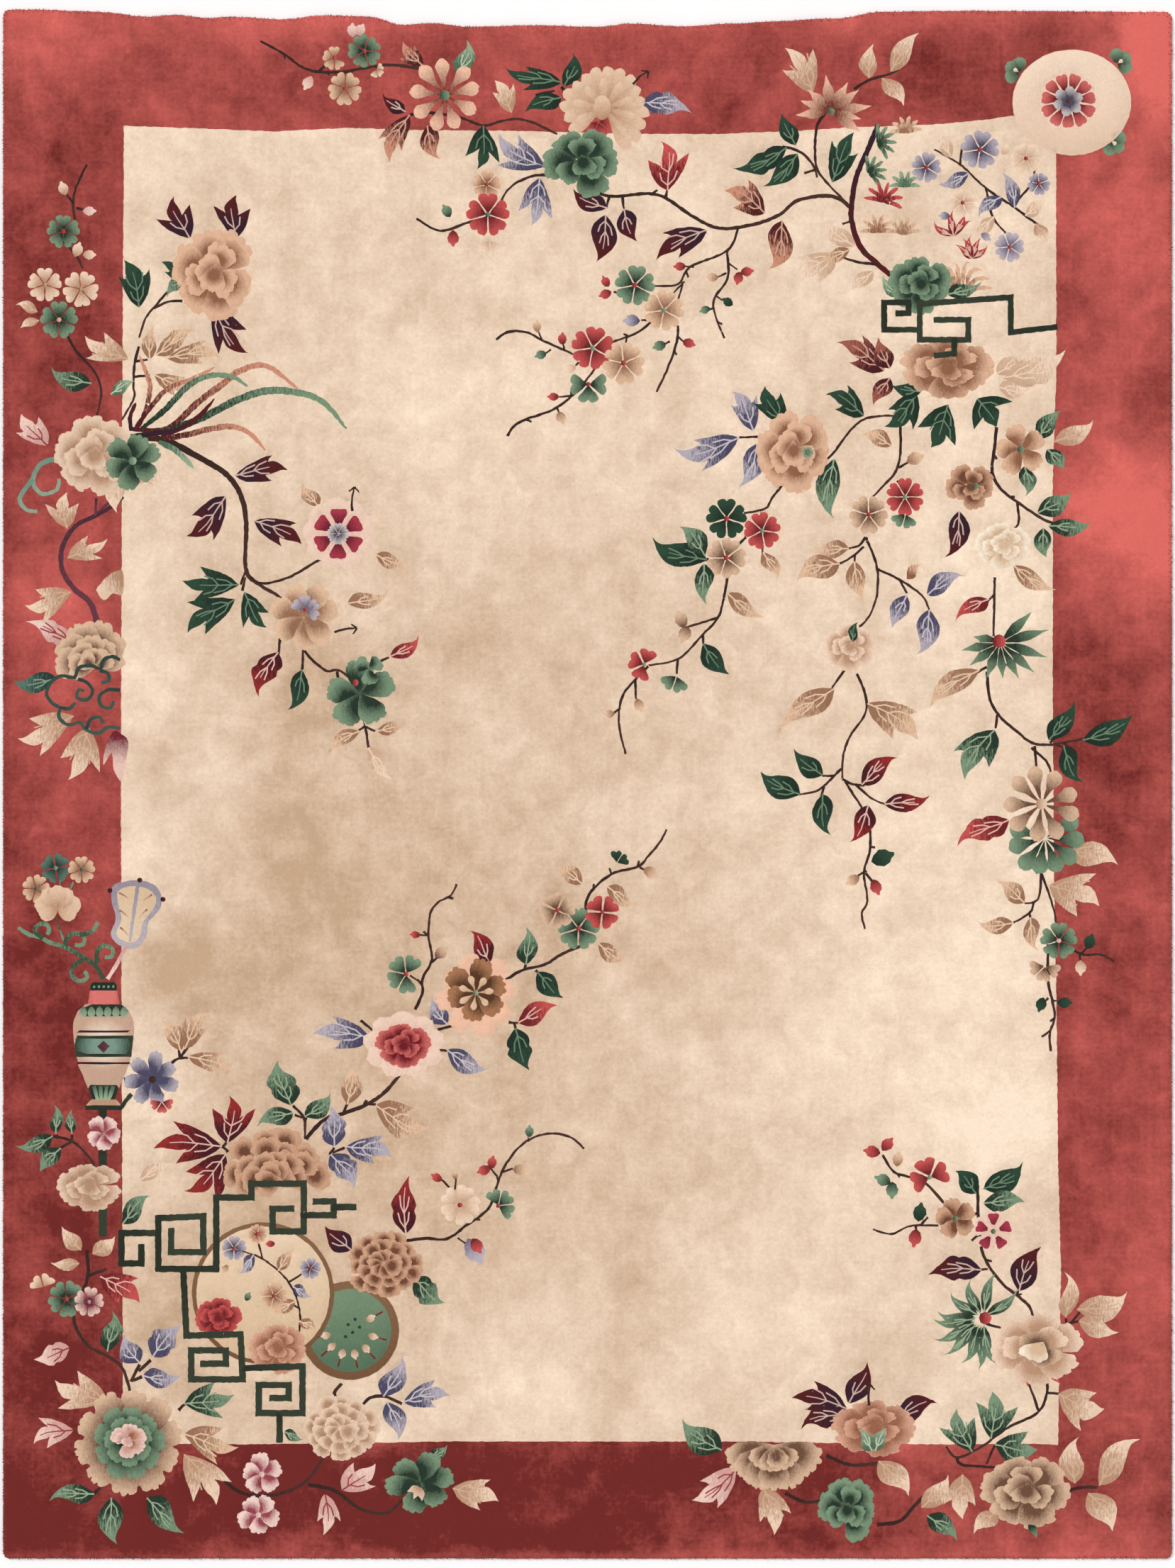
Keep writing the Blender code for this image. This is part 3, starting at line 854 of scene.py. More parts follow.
def medallion():
    """The round cream medallion over the top right corner, with a rosette and trefoils."""
    for x, y, way in ((99.6, 164.4, 148), (122.4, 166.4, 36), (121, 148.6, 318)):
        for turn in (-62, 0, 62):
            petal(
                (x * CM, y * CM), math.radians(way + turn), 0.035, 0.029, "round", "green", -0.1, BACKDROP)
        petal((x * CM, y * CM), math.radians(way), 0.014, 0.012, "strap", "moon", 0.0, BACKDROP)
    disc(111.8, 157.4, 13.7, 12.2, "moon", BLOOM)
    for k in range(11):
        petal(
            (1.11, 1.577), math.radians(360 * k / 11 + 8), 0.069 * dice.uniform(0.95, 1.03), 0.054, "wedge",
            "halo")
        petal(
            (1.11, 1.577), math.radians(360 * k / 11 + 8), 0.064 * dice.uniform(0.95, 1.03), 0.046, "wedge",
            "claret", 0.38)
    for k in range(6):
        petal((1.11, 1.577), math.radians(60 * k + 20), 0.035, 0.023, "round", "dove", 0.2)
    dot(111, 157.7, 0.6, "plum")


def blade(numbers, width, dye, layer=FOLIAGE):
    """A long grass blade along points in centimetres, widest in its middle."""
    ribbon(pairs(numbers), width * CM * 1.15, None, dye, layer, 0.0, None, 0.006, belly=True, rough=0.0010)


def upper_fret():
    """The angular lattice under the top right flowers."""
    group = design.group()
    for row in (
        (71.8, 108.7, 2.3, 0, 0, 2.5, -5.6, 0, 0, -6.3, 7.8, 0),
        (107.8, 105.5, -10.1, -1.2, 0, 8.1, -21, -1.5, 0, -8.3, 11.2, 0, 0, 4.6, -7.3, 0),
        (84.7, 102.6, 0, -3.2, -4.1, -.4),
    ):
        fret(row, 1.35, group=group)


def right_canopy():
    """The peonies, leaves and hanging branches under the lattice."""
    leaves(
        (68.5, 95.5, -10.9, 6.5, 6.6, "sienna", "lobed"), (69.8, 96, -2.6, 7.2, 4.8, "sienna"),
        (69.8, 93.8, -3.8, -6.4, 4.2, "sienna"), (94.4, 94.7, 7.8, 6.9, 5, "pale"),
        (96.1, 93.8, 14.3, 6.5, 7, "pale", "wavy"), (94.8, 91.6, 7.6, -.4, 4, "pale"),
        (63.8, 85, -8.8, 5, 6, "pine", "lobed"), (76, 90, -7.5, -7.4, 7, "pine", "lobed"),
        (83.2, 87.6, -3.9, -9.9, 8, "pine", "maple"), (90, 89, 4.4, -6.6, 9, "pine", "maple"),
        (77, 90.6, -7, 1.6, 3.6, "pine"), (38.3, 81.6, -4.8, 9, 6, "blue", "lobed"),
        (34.9, 79.9, -15.1, -2.2, 7, "blue", "lobed"), (39.2, 78.6, -4.3, -10, 5.5, "blue"),
        (45.2, 83.3, -4.2, 8.7, 6.2, "pine", "lobed"), (56.9, 75.1, 0, -13.8, 5.6, "green"),
        (27.5, 51.8, -12.5, 5.2, 6, "pine"), (27.1, 52.7, -5.8, 6.7, 5, "green"),
        (26.9, 50.9, .6, -9.5, 4.5, "green"), (40.5, 53.5, 3.4, -6.2, 3.6, "tan"),
        (32.3, 44, 8.6, -5.4, 4.2, "tan"), (26.7, 32.4, 6, -7.1, 5, "pine"))
    stems(
        (42, 80.3, -7, -.3), (52.1, 72.5, 4.3, 3.5, 3.5, 4.7, 3.9, 3.5, 6.4, .8, 5.8, -1),
        (45.6, 69.9, -3, -3.9, -1.7, -2.5, -4.8, -.9), (40.2, 63.2, .1, -5.2), (36.6, 57, -2, -2),
        (32.4, 48.3, -.8, -4.7, -1.5, -5.2, -3.9, -4.3, -5.2, -5.2, -6.9, -1.5),
        (14, 27.2, -2.5, -2.6, -3.4, -4.3, -.9, -6, 1.6, -7.4), (28, 52, -4, -1.4, -1.6, -.1),
        (30, 38.4, -7, -2.2), (26.6, 34.6, .2, -2.6), (20.8, 28.8, -.2, -3.4), (11, 24, .2, -4.4),
        (7.6, 17.6, -1.6, -1.3), (40.4, 55, 0, -2), width=0.62, end_width=0.5)
    peony(83.2, 96, 11, 7, "coral", 10, petals=7)
    peony(47.6, 77, 8.2, 9.8, "coral", 25, petals=7)
    blossom(50.8, 76.6, 1.4, "mint", 5, 5, 0, None)
    blossoms(
        (32.1, 61.3, 4.6, "pine", 5, 5, 90), (40.3, 58.5, 4.2, "rose", 5, 5, 100, "mint"),
        (32, 52.2, 4.6, "brown", 5, 5, 0), (13.1, 27.6, 3.6, "rose", 4, 3, 70, "mint"),
        (20.6, 25, 3.8, "green", 5, 2, 215, None))
    buds(
        (21.6, 38, 1.9, "brown", 110), (22.4, 34.6, 1.9, "brown", 250), (5, 16.2, 1.2, "tan", 180),
        (11.9, 18.2, 1.5, "tan", 290))


def middle_column():
    """The long branch of pale leaves and blue leaves in the right of the field."""
    stem((72.2, 82.9, 0, -6.5, -1.1, -4.3, -2.6, -3, -3, -3.2), 0.7, 0.55)
    stems(
        (71.8, 73, 2.8, 1.6), (71.4, 70, 1.4, -1), (64.2, 57, 2.6, -6.9, -.2, -7.4, -2.8, -5.6, -3.2, -1.1),
        (66.8, 49.6, 5.2, -2.4, 5.1, -3.6, 1.8, -3.4), (63.8, 54.8, -3.1, -2.6, -2.5, -1.3),
        (64.2, 57, -1.6, -2, -2.3, -.6), (61.8, 53, -.2, -1.8), (72, 47.2, 1.7, -3.2),
        (59.4, 26.4, -3, -4.2), (62.2, 25.5, 2, -5.2, -.2, -4.3, -3.3, -4.8, -1.7, -4.7, -.2, -5.2),
        (58.6, 3.6, -4, -4, -2.5, -1.5, -3.3, -.5), (57, 1.9, -2.8, 0), (54.6, -.6, -.6, -2.2),
        (58.8, 1.2, 2.2, -1.2, 3, -.4), (59.4, .6, 4, -6.2), (61.8, 0, 3.6, -3.2, 3.3, -1.5),
        (65.1, -9, .1, -6.2, -1.4, -5.2, .8, -6.5, -1.3, -3, .7, -3.6), (65, -14.6, 1.4, 0),
        (64.4, -20, -2.4, -1.4), (64.2, -20.6, 1.6, -2), width=0.62, end_width=0.5)
    leaves(
        (70.2, 78.1, -6.9, 2.6, 4, "tan"), (60.3, 54.4, -8.2, .4, 4.2, "tan"),
        (58.2, 50.9, -10, -4.3, 6, "tan"), (61.6, 51.4, 2.2, -8.7, 4.6, "tan"),
        (73.7, 47.3, 3.2, 3.3, 2.6, "coral"), (78.4, 43.6, 9, 4.3, 4.6, "blue"),
        (73.7, 43.6, -3.3, -7.6, 4.4, "blue"), (78.9, 40.2, -3, -10.4, 5.6, "blue"),
        (56.9, 22, -12.6, -9.7, 6, "tan"), (64.6, 18.6, 11.7, -8.5, 8, "tan", "lobed"),
        (54.3, 2, -6.7, 6.2, 5, "pine"), (49.1, -2.4, -9.2, 5.3, 6, "pine"),
        (54.3, -2.3, 2.1, -9.7, 5, "pine"), (63.3, -.2, 8.5, 6.3, 5, "crimson"),
        (68.5, -4.7, 10.5, 2, 4.5, "crimson"), (64.8, -4.9, -4.3, -8.6, 5.2, "crimson"))
    buds(
        (75.6, 75.2, 1.9, "tan", 20), (68.1, -17, 2.5, "pine", 20), (61.2, -22.2, 1.6, "tan", 210),
        (66.6, -23.8, 1.7, "rose", 290))
    blossoms(
        (73.3, 66.3, 4.4, "rose", 6, 6, 90, "mint"), (73.4, 62.4, 3.4, "green", 5, 2, 220, None),
        (64.9, 62.2, 4.4, "brown"))
    peony(60.6, 31.6, 6, 5.4, "cream", 10, petals=6)
    leaves((61.2, 32.8, 1.4, 4.6, 2.4, "pine"), layer=CREST)


def right_border():
    """The flowers and leaves along the right border, from the top down."""
    stem((94.4, 82.4, -.4, -4.3, -.6, -6, 1.9, -3.9, 4.3, -3.4, 5.2, -3.5, 3.2, -1.3), 0.8, 0.6)
    stems(
        (99.2, 65, .2, -5, -2.8, -2.4), (94, 47.7, -.3, -13.6), (93.9, 43.8, -1.5, -1.6),
        (93.4, 72, -2.4, -2), (92.2, 27, -2.6, -1.4), (102.4, 8.4, 3.8, -3.6, 1.2, -4.8),
        (103.2, 8.8, .6, -8.8), (94.6, 16, -.4, -3.2), (106.8, 9.4, 1.2, 1.6), (108, 9.2, 2, -.8),
        width=0.65, end_width=0.5)
    stem((92.2, 26, .5, -5.7, 2.1, -4.3, 4.8, -4.3, 3, -2.2, 4.3, -.4, 7.4, 1.3), 0.7, 0.6)
    leaves(
        (103.9, 79.7, 5.6, 6.6, 4.5, "green"), (107.8, 79, 9, 5.2, 4.6, "cream"),
        (106.1, 77.3, 3.8, -4.8, 4, "green"), (100.9, 73.4, .2, -6.9, 4, "green"),
        (85.8, 63, -3.6, -10.8, 5.2, "maroon"), (103.9, 62.6, 7.8, 4.7, 5, "green"),
        (106.4, 59.6, 10, .8, 4.2, "green"), (105.2, 59.1, .9, -6.9, 4.2, "green"),
        (98.3, 50.5, 9.9, -5.6, 4.2, "tan"), (92.7, 42.7, -7.8, -5.1, 4, "rose"),
        (90.5, 26.3, -11.6, -9, 5.2, "tan"), (94, 12.5, -6.9, -11.6, 8.4, "green", "lobed"),
        (106.5, 10.1, 5.9, 9.2, 5, "pine"), (114.3, 10.1, 11.6, 6.1, 5.6, "pine"),
        (109.9, 8.7, 4.8, -8.3, 5, "pine"), (97.3, -8.3, -12, -6.1, 6, "rose", "wavy"),
        (110.8, -15.7, 11.7, -3, 6, "cream"), (106.5, -23.4, 11.6, -4.8, 9, "cream", "maple"),
        (100.9, -27.5, -6.3, 4.9, 4.5, "tan"), (98.3, -32.1, -8.5, .7, 4, "tan"),
        (102.2, -30.8, 2, -7.7, 4, "tan"))
    peony(88.4, 68.6, 5.8, 5.4, "cocoa", 30, petals=5)
    dot(89.6, 68.8, 0.7, "leek")
    mallow(100, 77.3, 6, "coral", 5, 30, 0.66, "leek")
    peony(96.1, 55, 6.6, 5.4, "milk", 15, petals=6)
    rays = ((44, 10.4), (15, 11.8), (-17, 11.6), (-41, 10.6), (-62, 9.4), (-85, 8.4), (-111, 8.8),
            (-143, 8.8), (-169, 9.2), (-193, 6.4))
    for angle, reach in rays:
        petal((0.952, 0.326), math.radians(angle), reach * CM, 0.024, "point", "green", 0.22)
    for (left, _), (right, _) in zip(rays, rays[1:]):
        turn = math.radians((left + right) / 2)
        ribbon(
            [(0.952, 0.326), (0.952 + 0.05 * math.cos(turn), 0.326 + 0.05 * math.sin(turn))], 0.0022,
            0.0012, "milk", BLOOM)
    dot(95, 33, 1.6, "rose")
    stem((104.8, -19.1, -.5, -6.5, -1.3, -1.7, -2.1, -.2), 0.6, 0.5)
    stems(
        (104.4, -19.5, 3, -8.7, .8, -4.3), (103, -27.3, -1, -2.5, -3.7, -2.2), (102, -29.8, .2, -1.2),
        (111.2, -37.7, 3.1, -1.7, 4.3, 0, 3, -1.7), (114, -39.2, 1.4, 1.8), (113.6, -39.4, .2, -1.6),
        (106.9, -56.8, -2.1, -1.6), (106.4, -49.4, -1, -1), (107, -50, 2, -.2), width=0.62, end_width=0.5)
    stem((106.3, -37, 0, -8.4, 1.1, -5.2, .4, -3.5, -1.1, -3.4, .2, -4.2), 0.7, 0.55, spurs=True)
    aster(105.6, -12.5, 9, "green", 8, 0.56, "spoon", None, 166, 224, start=0.25)
    aster(104.8, -4.6, 9, "brown", 9, 0.52, "spoon", "ivory", 20, start=0.30)
    blossoms((108.8, -36.2, 4.2, "green", 5, 5, 90, "blush"), (105.6, -42, 3.6, "brown", 5, 3, 190, None))
    buds(
        (115.9, -36.4, 1.7, "pine", 70), (113.8, -42.4, 1.6, "cream", 270),
        (104.7, -50.9, 1.6, "pine", 250), (110.1, -50.5, 1.6, "pine", 0))


def lower_right():
    """The blossom twig and the peonies of the bottom right corner."""
    stem((68.1, -85.6, 2.6, -3.9, 3.9, -1.3, 3.4, -1.3, 4.3, -4.7), 0.6, 0.6)
    stem((65.9, -102.8, 4.3, -1.1, 4.4, 1.9, 6.4, 0), 0.45, 0.55)
    stem((90.1, -92.7, 0, -5, .4, -5.1, .9, -6.1, 3.9, -6, 4.3, -3.5, 2.6, -2.6, .8, -3.2), 0.7, 0.7)
    stems(
        (76.7, -102, 1.9, 2), (75.8, -102, 0, -1), (90.5, -104, -1.9, -1.4), (89.6, -112.2, 2.8, .2),
        (99, -118, 1, 2.6), (92, -124.6, 3.4, -1),
        (105.2, -134.8, .9, -5.1, -2.2, -5.2, -6.9, -3.5, -6, -4.3, -5.7, -2.6, -2.5, 2.6),
        (104.2, -145, -2.6, 7.4), (106, -140.6, 3, -.2), (85.3, -155.5, 1.3, -1.7, 8.7, -.9, 5.2, -3.4),
        (94, -152.6, -2, -4.4), (110.4, -123.4, .6, -1.6, 2.8, 3.2), (111, -124.6, 2.6, .6), width=0.66,
        end_width=0.55)
    stem((45.6, -163.7, 4.8, -2.1, 5.2, .8), 0.8, 0.7, "bark", False)
    stem((66.8, -171, 5.2, .8, 3.4, 3.5, 2.6, 2.2, 6.1, .8), 0.9, 0.8, "bark", False)
    stem((55.1, -155, 5.6, -2.2, 6.1, .4), 0.8, 0.7, "bark", False)
    stem((110.8, -163.2, 3.5, .8, 3.4, 0), 0.8, 0.7, "bark", False)
    leaves(
        (89.7, -94.6, -4.8, 5.3, 5, "pine"), (91.4, -93.5, 9, 6.2, 5.5, "pine"),
        (91.4, -96.8, 9.7, .2, 5, "green"), (91, -112.2, -12.4, -1.2, 6, "maroon", "wavy"),
        (99.6, -117.1, 5.2, 10.2, 6.5, "maroon"), (110.4, -123.1, -.4, 10.6, 4.4, "cream"),
        (113, -121.4, 11.6, 4.3, 6.5, "cream"), (113.4, -124, 9.3, -2.6, 5, "cream"),
        (108.7, -140.8, 10.7, -3.5, 9, "cream", "lobed"), (88.8, -154.2, -3.5, 9.9, 7, "green", "maple"),
        (93.1, -151.2, .4, 10.8, 8, "green", "maple"), (94, -152.5, 9.9, -1.1, 8, "green", "maple"),
        (59.9, -144.3, -12.7, 2.6, 6.5, "maroon", "lobed"), (60.3, -143, 4.3, 9.5, 5.5, "maroon"),
        (59.9, -145.6, -10.6, -3.4, 6, "maroon", "wavy"), (71.1, -146.4, 9.7, 3.4, 5.5, "maroon"),
        (31, -153.8, -9.1, 7.1, 7, "green"), (34.4, -158.1, -10.3, -7.3, 7, "blush", "lobed"),
        (40.5, -162.4, 2.6, -11, 7, "cream", "lobed"), (67.2, -156.3, 6.9, -8.2, 6, "cream"),
        (77.1, -167.1, 6.1, 7.7, 5, "cream"), (86.6, -159.4, 0, -10.3, 7, "cream", "lobed"),
        (94.4, -168, -5.2, -5.2, 4.5, "cream"), (78.4, -168.9, 6.9, -6, 5, "green"),
        (112.5, -161.5, .9, 10.8, 6, "cream"), (118.1, -162, 9.5, 10.7, 6, "cream"),
        (115.6, -163.7, 5.6, -9, 6.5, "cream"))
    for count, turn, arc, radius in ((5, 40, 130, 11), (6, 180, 108, 12)):
        spray(91, -123.5, radius, "green", count, turn, arc, 0.24, BLOOM)
    dot(91.8, -123.3, 1.5, "rose")
    buds(
        (65.7, -84.9, 1.8, "rose", 170), (69.2, -83.2, 1.7, "rose", 50), (71.6, -86.6, 1.6, "tan", 80),
        (76.7, -98.9, 2, "pine", 80), (75.6, -104.8, 1.9, "rose", 260), (68.2, -91.4, 1.8, "green", 160),
        (70.3, -93.8, 1.8, "green", 270))
    blossoms((79, -90.8, 4.4, "rose", 4, 3, 20, "mint"), (93.7, -103.3, 4.8, "halo", 5, 5, 90, None))
    mallow(84.9, -100.4, 4.8, "cocoa", 5, 100, None, "leek")
    aster(93.7, -103.3, 4.3, "wine", 5, 1.05, "wedge", "leek", 90)
    leaves((104, -134, -2.4, -5.4, 2.6, "rose"), (107, -134, 2.4, -4.6, 2.6, "rose"), layer=BLOOM)
    peony(103.9, -130.4, 11, 7.8, "cream", 0, "brown", "milk", petals=6)
    peony(66.4, -148.6, 9.6, 6.4, "copper", 20, petals=7)
    leaves((65.7, -154, -3.3, 5, 3.4, "mint"), (66.4, -154, 2.8, 5.4, 3.4, "mint"), layer=CREST)
    sprig(65, -143.5, 65.2, -138.6)
    for angle, reach, width in (
        (200, 11.6, 6), (222, 11, 6), (318, 11, 6), (340, 11.6, 6), (246, 11.2, 6), (294, 11.2, 6),
        (270, 11, 6), (228, 6.6, 5), (312, 6.6, 5), (262, 6.4, 5), (284, 5.4, 4.4),
    ):
        petal(
            (0.43, -1.527), math.radians(angle), reach * CM, width * CM, "fan", "brown", 0.46, BLOOM,
            (1.0, 0.96), 0.05, 0.54)
    peony(59.9, -167.6, 6.8, 7.6, "green", 30, petals=5)
    peony(101.3, -163.2, 10.4, 8.4, "brown", 30, petals=6)
    leaves((101.8, -171, 1.6, -3.4, 2, "green"), layer=BLOOM)


def upper_left():
    """The blossom twig in the left border, the peony spray and the grass blades of the upper left."""
    stem((-115.5, 143, -2, -4, -1.2, -4, .4, -5), 0.55, 0.6)
    stems(
        (-121.5, 126, 3.5, -4, 1.5, -3), (-120.5, 104.5, 2.5, -4.5, 4, -4.5, 1.7, -4, -.2, -3.5, -1, -4),
        (-93, 117.5, -4.5, -4.5, -2.5, -3, -2, -2.5, -1.5, -4.5), (-93.5, 111.5, -3.5, -.2, -3, -1.6),
        (-103.5, 101, -1, -4, -.3, -5, .1, -3, -2.8, -5), (-118.6, 134, -2, 2.4), (-118, 133, 2.2, -.6),
        (-104.4, 97.6, 2.9, .4), (-104.8, 94, 3.8, .4), width=0.66, end_width=0.5)
    buds(
        (-121, 137.5, 1.5, "cream", 110), (-115, 132.3, 1.4, "blush", 0), (-117.7, 123.4, 1.6, "cream", 70),
        (-115, 122.2, 1.4, "cream", 0))
    blossoms(
        (-121, 127.6, 3.8, "green", 5, 5, 90), (-125.3, 115.3, 3.9, "cream", 5, 5, 90, "brown"),
        (-117, 114.3, 4.1, "cream", 5, 5, 60, "brown"), (-122, 107.2, 4.3, "green", 5, 5, 90, "ivory"))
    leaves(
        (-127, 109, -5, 1.7, 2.6, "cream"), (-126.6, 107, -4.4, -1.8, 2.2, "cream"),
        (-114.5, 92.5, -9.5, 4.2, 4.8, "green"), (-110, 90, 5.5, 3, 3, "mint"),
        (-106, 98, -10, 5.5, 6, "cream", "maple"), (-101, 98, 1, 8, 3.4, "tan"),
        (-99.6, 99, 9.6, 5.6, 4.2, "tan", "wavy"), (-97, 98.4, 12.5, -.4, 5, "tan", "lobed"),
        (-100, 94.5, 9, -2.9, 4.6, "tan", "lobed"), (-103.5, 110, -3.5, 11, 7, "pine", "lobed"),
        (-92.4, 115.2, -6, 5.4, 4.0, "pine", "lobed"), (-91.5, 117, -5.5, -4.7, 3.4, "green"),
        (-91.8, 126, -3.7, 9.8, 7, "maroon", "maple"), (-81.3, 126, .3, 10, 7, "maroon", "maple"),
        (-86.5, 110, 8.2, -10.5, 7, "maroon", "maple"))
    peony(-86.2, 117.6, 9.4, 10.8, "coral", 24, petals=6)
    for points, width, dye in (
        ((-105.5, 82, -97, 82, -90, 88, -84, 92.5, -80, 95.5, -74, 96.5, -66.8, 91.2), 1.3, "rust"),
        ((-103, 80.2, -95, 80.2, -87, 82, -82, 82.5, -78, 81, -74.3, 77), 1.2, "rust"),
        ((-104, 82, -102, 86, -101, 91, -101.5, 94, -103.5, 99), 1.0, "rust"),
        ((-104.5, 82, -100, 88, -96.5, 91.5, -91, 93.6, -86, 96.2), 1.0, "rust"),
        ((-105.3, 81.5, -105.5, 85, -104.2, 88), 0.9, "maroon"),
        ((-103, 82, -98, 86, -92, 92, -87, 94.3, -82, 94, -78.5, 91.8), 1.2, "green"),
        ((-105, 80.3, -97, 81.5, -88, 85, -80, 89, -72, 90.9, -62, 88.8, -55.6, 82), 1.5, "green"),
        ((-99, 79, -95, 77, -91, 73), 1.2, "mint"),
        ((-104, 80, -100, 81, -95, 81.6, -90, 84.6, -86, 89), 1.0, "maroon"),
    ):
        blade(points, width, dye)
    stem(
        (-105.5, 80, 7.5, -.5, 7.5, -3.6, 7, -4.3, 3.4, -4.8, 1.3, -6, 0, -11.3, 3.1, -3.5, 4.3, -2.6, 2.2,
         -3), 1.7, 0.7, spurs=False)
    peony(-113.8, 75.8, 9.4, 9.2, "ivory", 24, petals=7)
    leaves((-106, 72, 10.6, -2.6, 4.6, "pale", "wavy"), (-108, 71, -.6, -8.4, 4.6, "pale"))
    mallow(-105, 74.6, 6.9, "green", 6, 20, None, "mint", 0.94)
    leaves((-124.7, 78.1, -6, 7.4, 6, "blush", "lobed"), (-118.5, 79.5, 6.5, 5.1, 3.6, "cream"))
    for points in (
        (-121, 75.3, -5, -1.3, -2, -4, 2, -3, 3.5, 1, .5, 2.5), (-128, 70.5, -3, -4.5, 1.5, -2.7, 2.5, -.3),
    ):
        ribbon(walked(points), 0.012, 0.008, "surf", STALKS, 0.0, STEM_GROUP["teal"])


def left_branch():
    """The long branch of maroon and green leaves that hangs from the grass clump."""
    leaves(
        (-81.4, 71.2, 12.2, 1.2, 5.6, "maroon", "lobed"), (-83.5, 66.4, -9.1, -9.1, 7.2, "maroon", "lobed"),
        (-77, 60.8, 11, -5.4, 6, "maroon", "lobed"), (-62, 64, -3.8, 5.5, 3.6, "tan"),
        (-48.9, 53, 7.6, -2.1, 3.6, "tan"), (-80.5, 46, -13, .9, 6.5, "pine", "maple"),
        (-81.4, 42.6, -11, -7.7, 7, "pine", "maple"), (-79.2, 44.3, 5.2, -8.2, 5.6, "pine", "maple"),
        (-55.4, 41.7, 9.6, 3.2, 4, "tan"), (-71.4, 30.4, -4.5, -10.4, 6, "crimson", "wavy"),
        (-65.9, 26.4, -3.5, -9.4, 4.6, "pine"), (-45.6, 29.4, 6.6, 5, 3.6, "rose"),
        (-52.6, 12.2, -6.8, -4.9, 3.4, "tan"), (-48.6, 12.2, 6.9, 1, 3, "tan"),
        (-50.6, 8.4, 5.6, -7.4, 4, "pale"))
    stems(
        (-77.9, 47.8, 3, -1.5, 6.1, 1.5, 6.9, 3.9, 1.9, .3), (-80, 46, 1.2, 3.5), (-79.6, 44.6, .7, 3.4),
        (-71, 33.6, -.3, -3.6), (-65.8, 26.4, .2, 4.8),
        (-65.6, 31.2, 2, -2.5, 3.5, -2.6, 2.7, .2, 3.8, -2.8), (-57.8, 26, .4, -2.6), (-48.8, 27.9, 3, 1.3),
        (-51.5, 14.8, .3, -1.9, .7, -4.5), (-51.2, 13.4, -1.6, -1), (-51.2, 13.2, 2.2, -1), width=0.66,
        end_width=0.55)
    for k in range(9):
        petal((-0.575, 0.580), 2 * math.pi * k / 9 + 0.3, 0.082, 0.062, "round", "halo", 0.0, FOLIAGE)
    for k in range(6):
        petal((-0.575, 0.578), 2 * math.pi * k / 6 + 0.5, 0.058, 0.066, "wedge", "wine", 0.25)
    blossom(-57.6, 57.8, 2.5, "dove", 6, 6, 90, "blue")
    mallow(-65.5, 38.6, 8.4, "tan", 7, 10)
    blossom(-65.2, 40.2, 3.4, "lavender", 6, 4, 330, "rose")
    mallow(-52.6, 20.8, 8.2, "green", 5, 20, 0.68, None, 0.92)
    mallow(-50.4, 26.6, 3.6, "green", 3, 30, 0.90)
    dot(-53.6, 23.4, 0.8, "rose")
    sprig(-54.3, 63, -53.8, 68.6)
    sprig(-58.4, 35, -53.2, 36)


def left_border():
    """The leaves, peony and cloud scroll of the left border's middle."""
    stem(
        (-107.2, 66.4, -2.8, -2.4, -3.8, -2.2, -4.4, -2.3, -3, -4.8, 0, -5.2, 2.6, -4.3, 3.9, -3.5, 1.9,
         -6.1), 0.9, 1.4, "plum", False)
    stems((-109.5, 68.5, -1.1, -3.5, -3.2, -2.6), (-113.4, 66, -.2, -4), dye="plum")
    leaves(
        (-120.1, 59, 0, 8.4, 6.4, "cream", "maple"), (-120, 52.2, 9.2, 4.4, 5, "cream", "maple"),
        (-119.2, 44.3, -10.7, -3, 6.5, "cream", "maple"), (-119, 33, -10.6, 4.6, 5, "blush", "wavy"),
        (-122.5, 24.4, -10.3, -.2, 4.6, "teal"), (-118.6, 15.7, -13, -5.2, 7.4, "cream", "maple"),
        (-115.1, 13.1, -4.8, -12.1, 8, "cream", "maple"))
    patch((-107.4, 49.2, -3.2, -1, -1.8, -2, -1, -1.4, 1.8, -2.4, 2, 1.6, 2.2, -.2), "ivory", FOLIAGE)
    for angle, reach, width in (
        (30, 7.2, 5.6), (56, 9.6, 6.2), (84, 11.0, 6.4), (112, 11.0, 6.4), (140, 10.2, 6.4),
        (168, 9.2, 6.2), (68, 7.2, 5.6), (102, 7.6, 5.8), (136, 6.8, 5.6), (174, 6.0, 5.2), (40, 4.8, 4.4),
        (92, 4.6, 4.8), (140, 3.8, 4.2),
    ):
        petal(
            (-1.138, 0.268), math.radians(angle), reach * CM, width * CM, "fan", "brown", 0.46, BLOOM,
            (1.0, 1.0), 0.05, 0.54)
    cloud_scroll()
    patch(
        (-107.5, 11.4, 1.5, -1.8, -.8, -5.6, -.8, -3.4, -1.8, 2.8, -.4, 3.8, -2, -2.8, .6, 4.2, 1.8, 3.6),
        "magenta", BLOOM, (-108.8, 12), (-108.6, 3.5))
    border_blossoms()


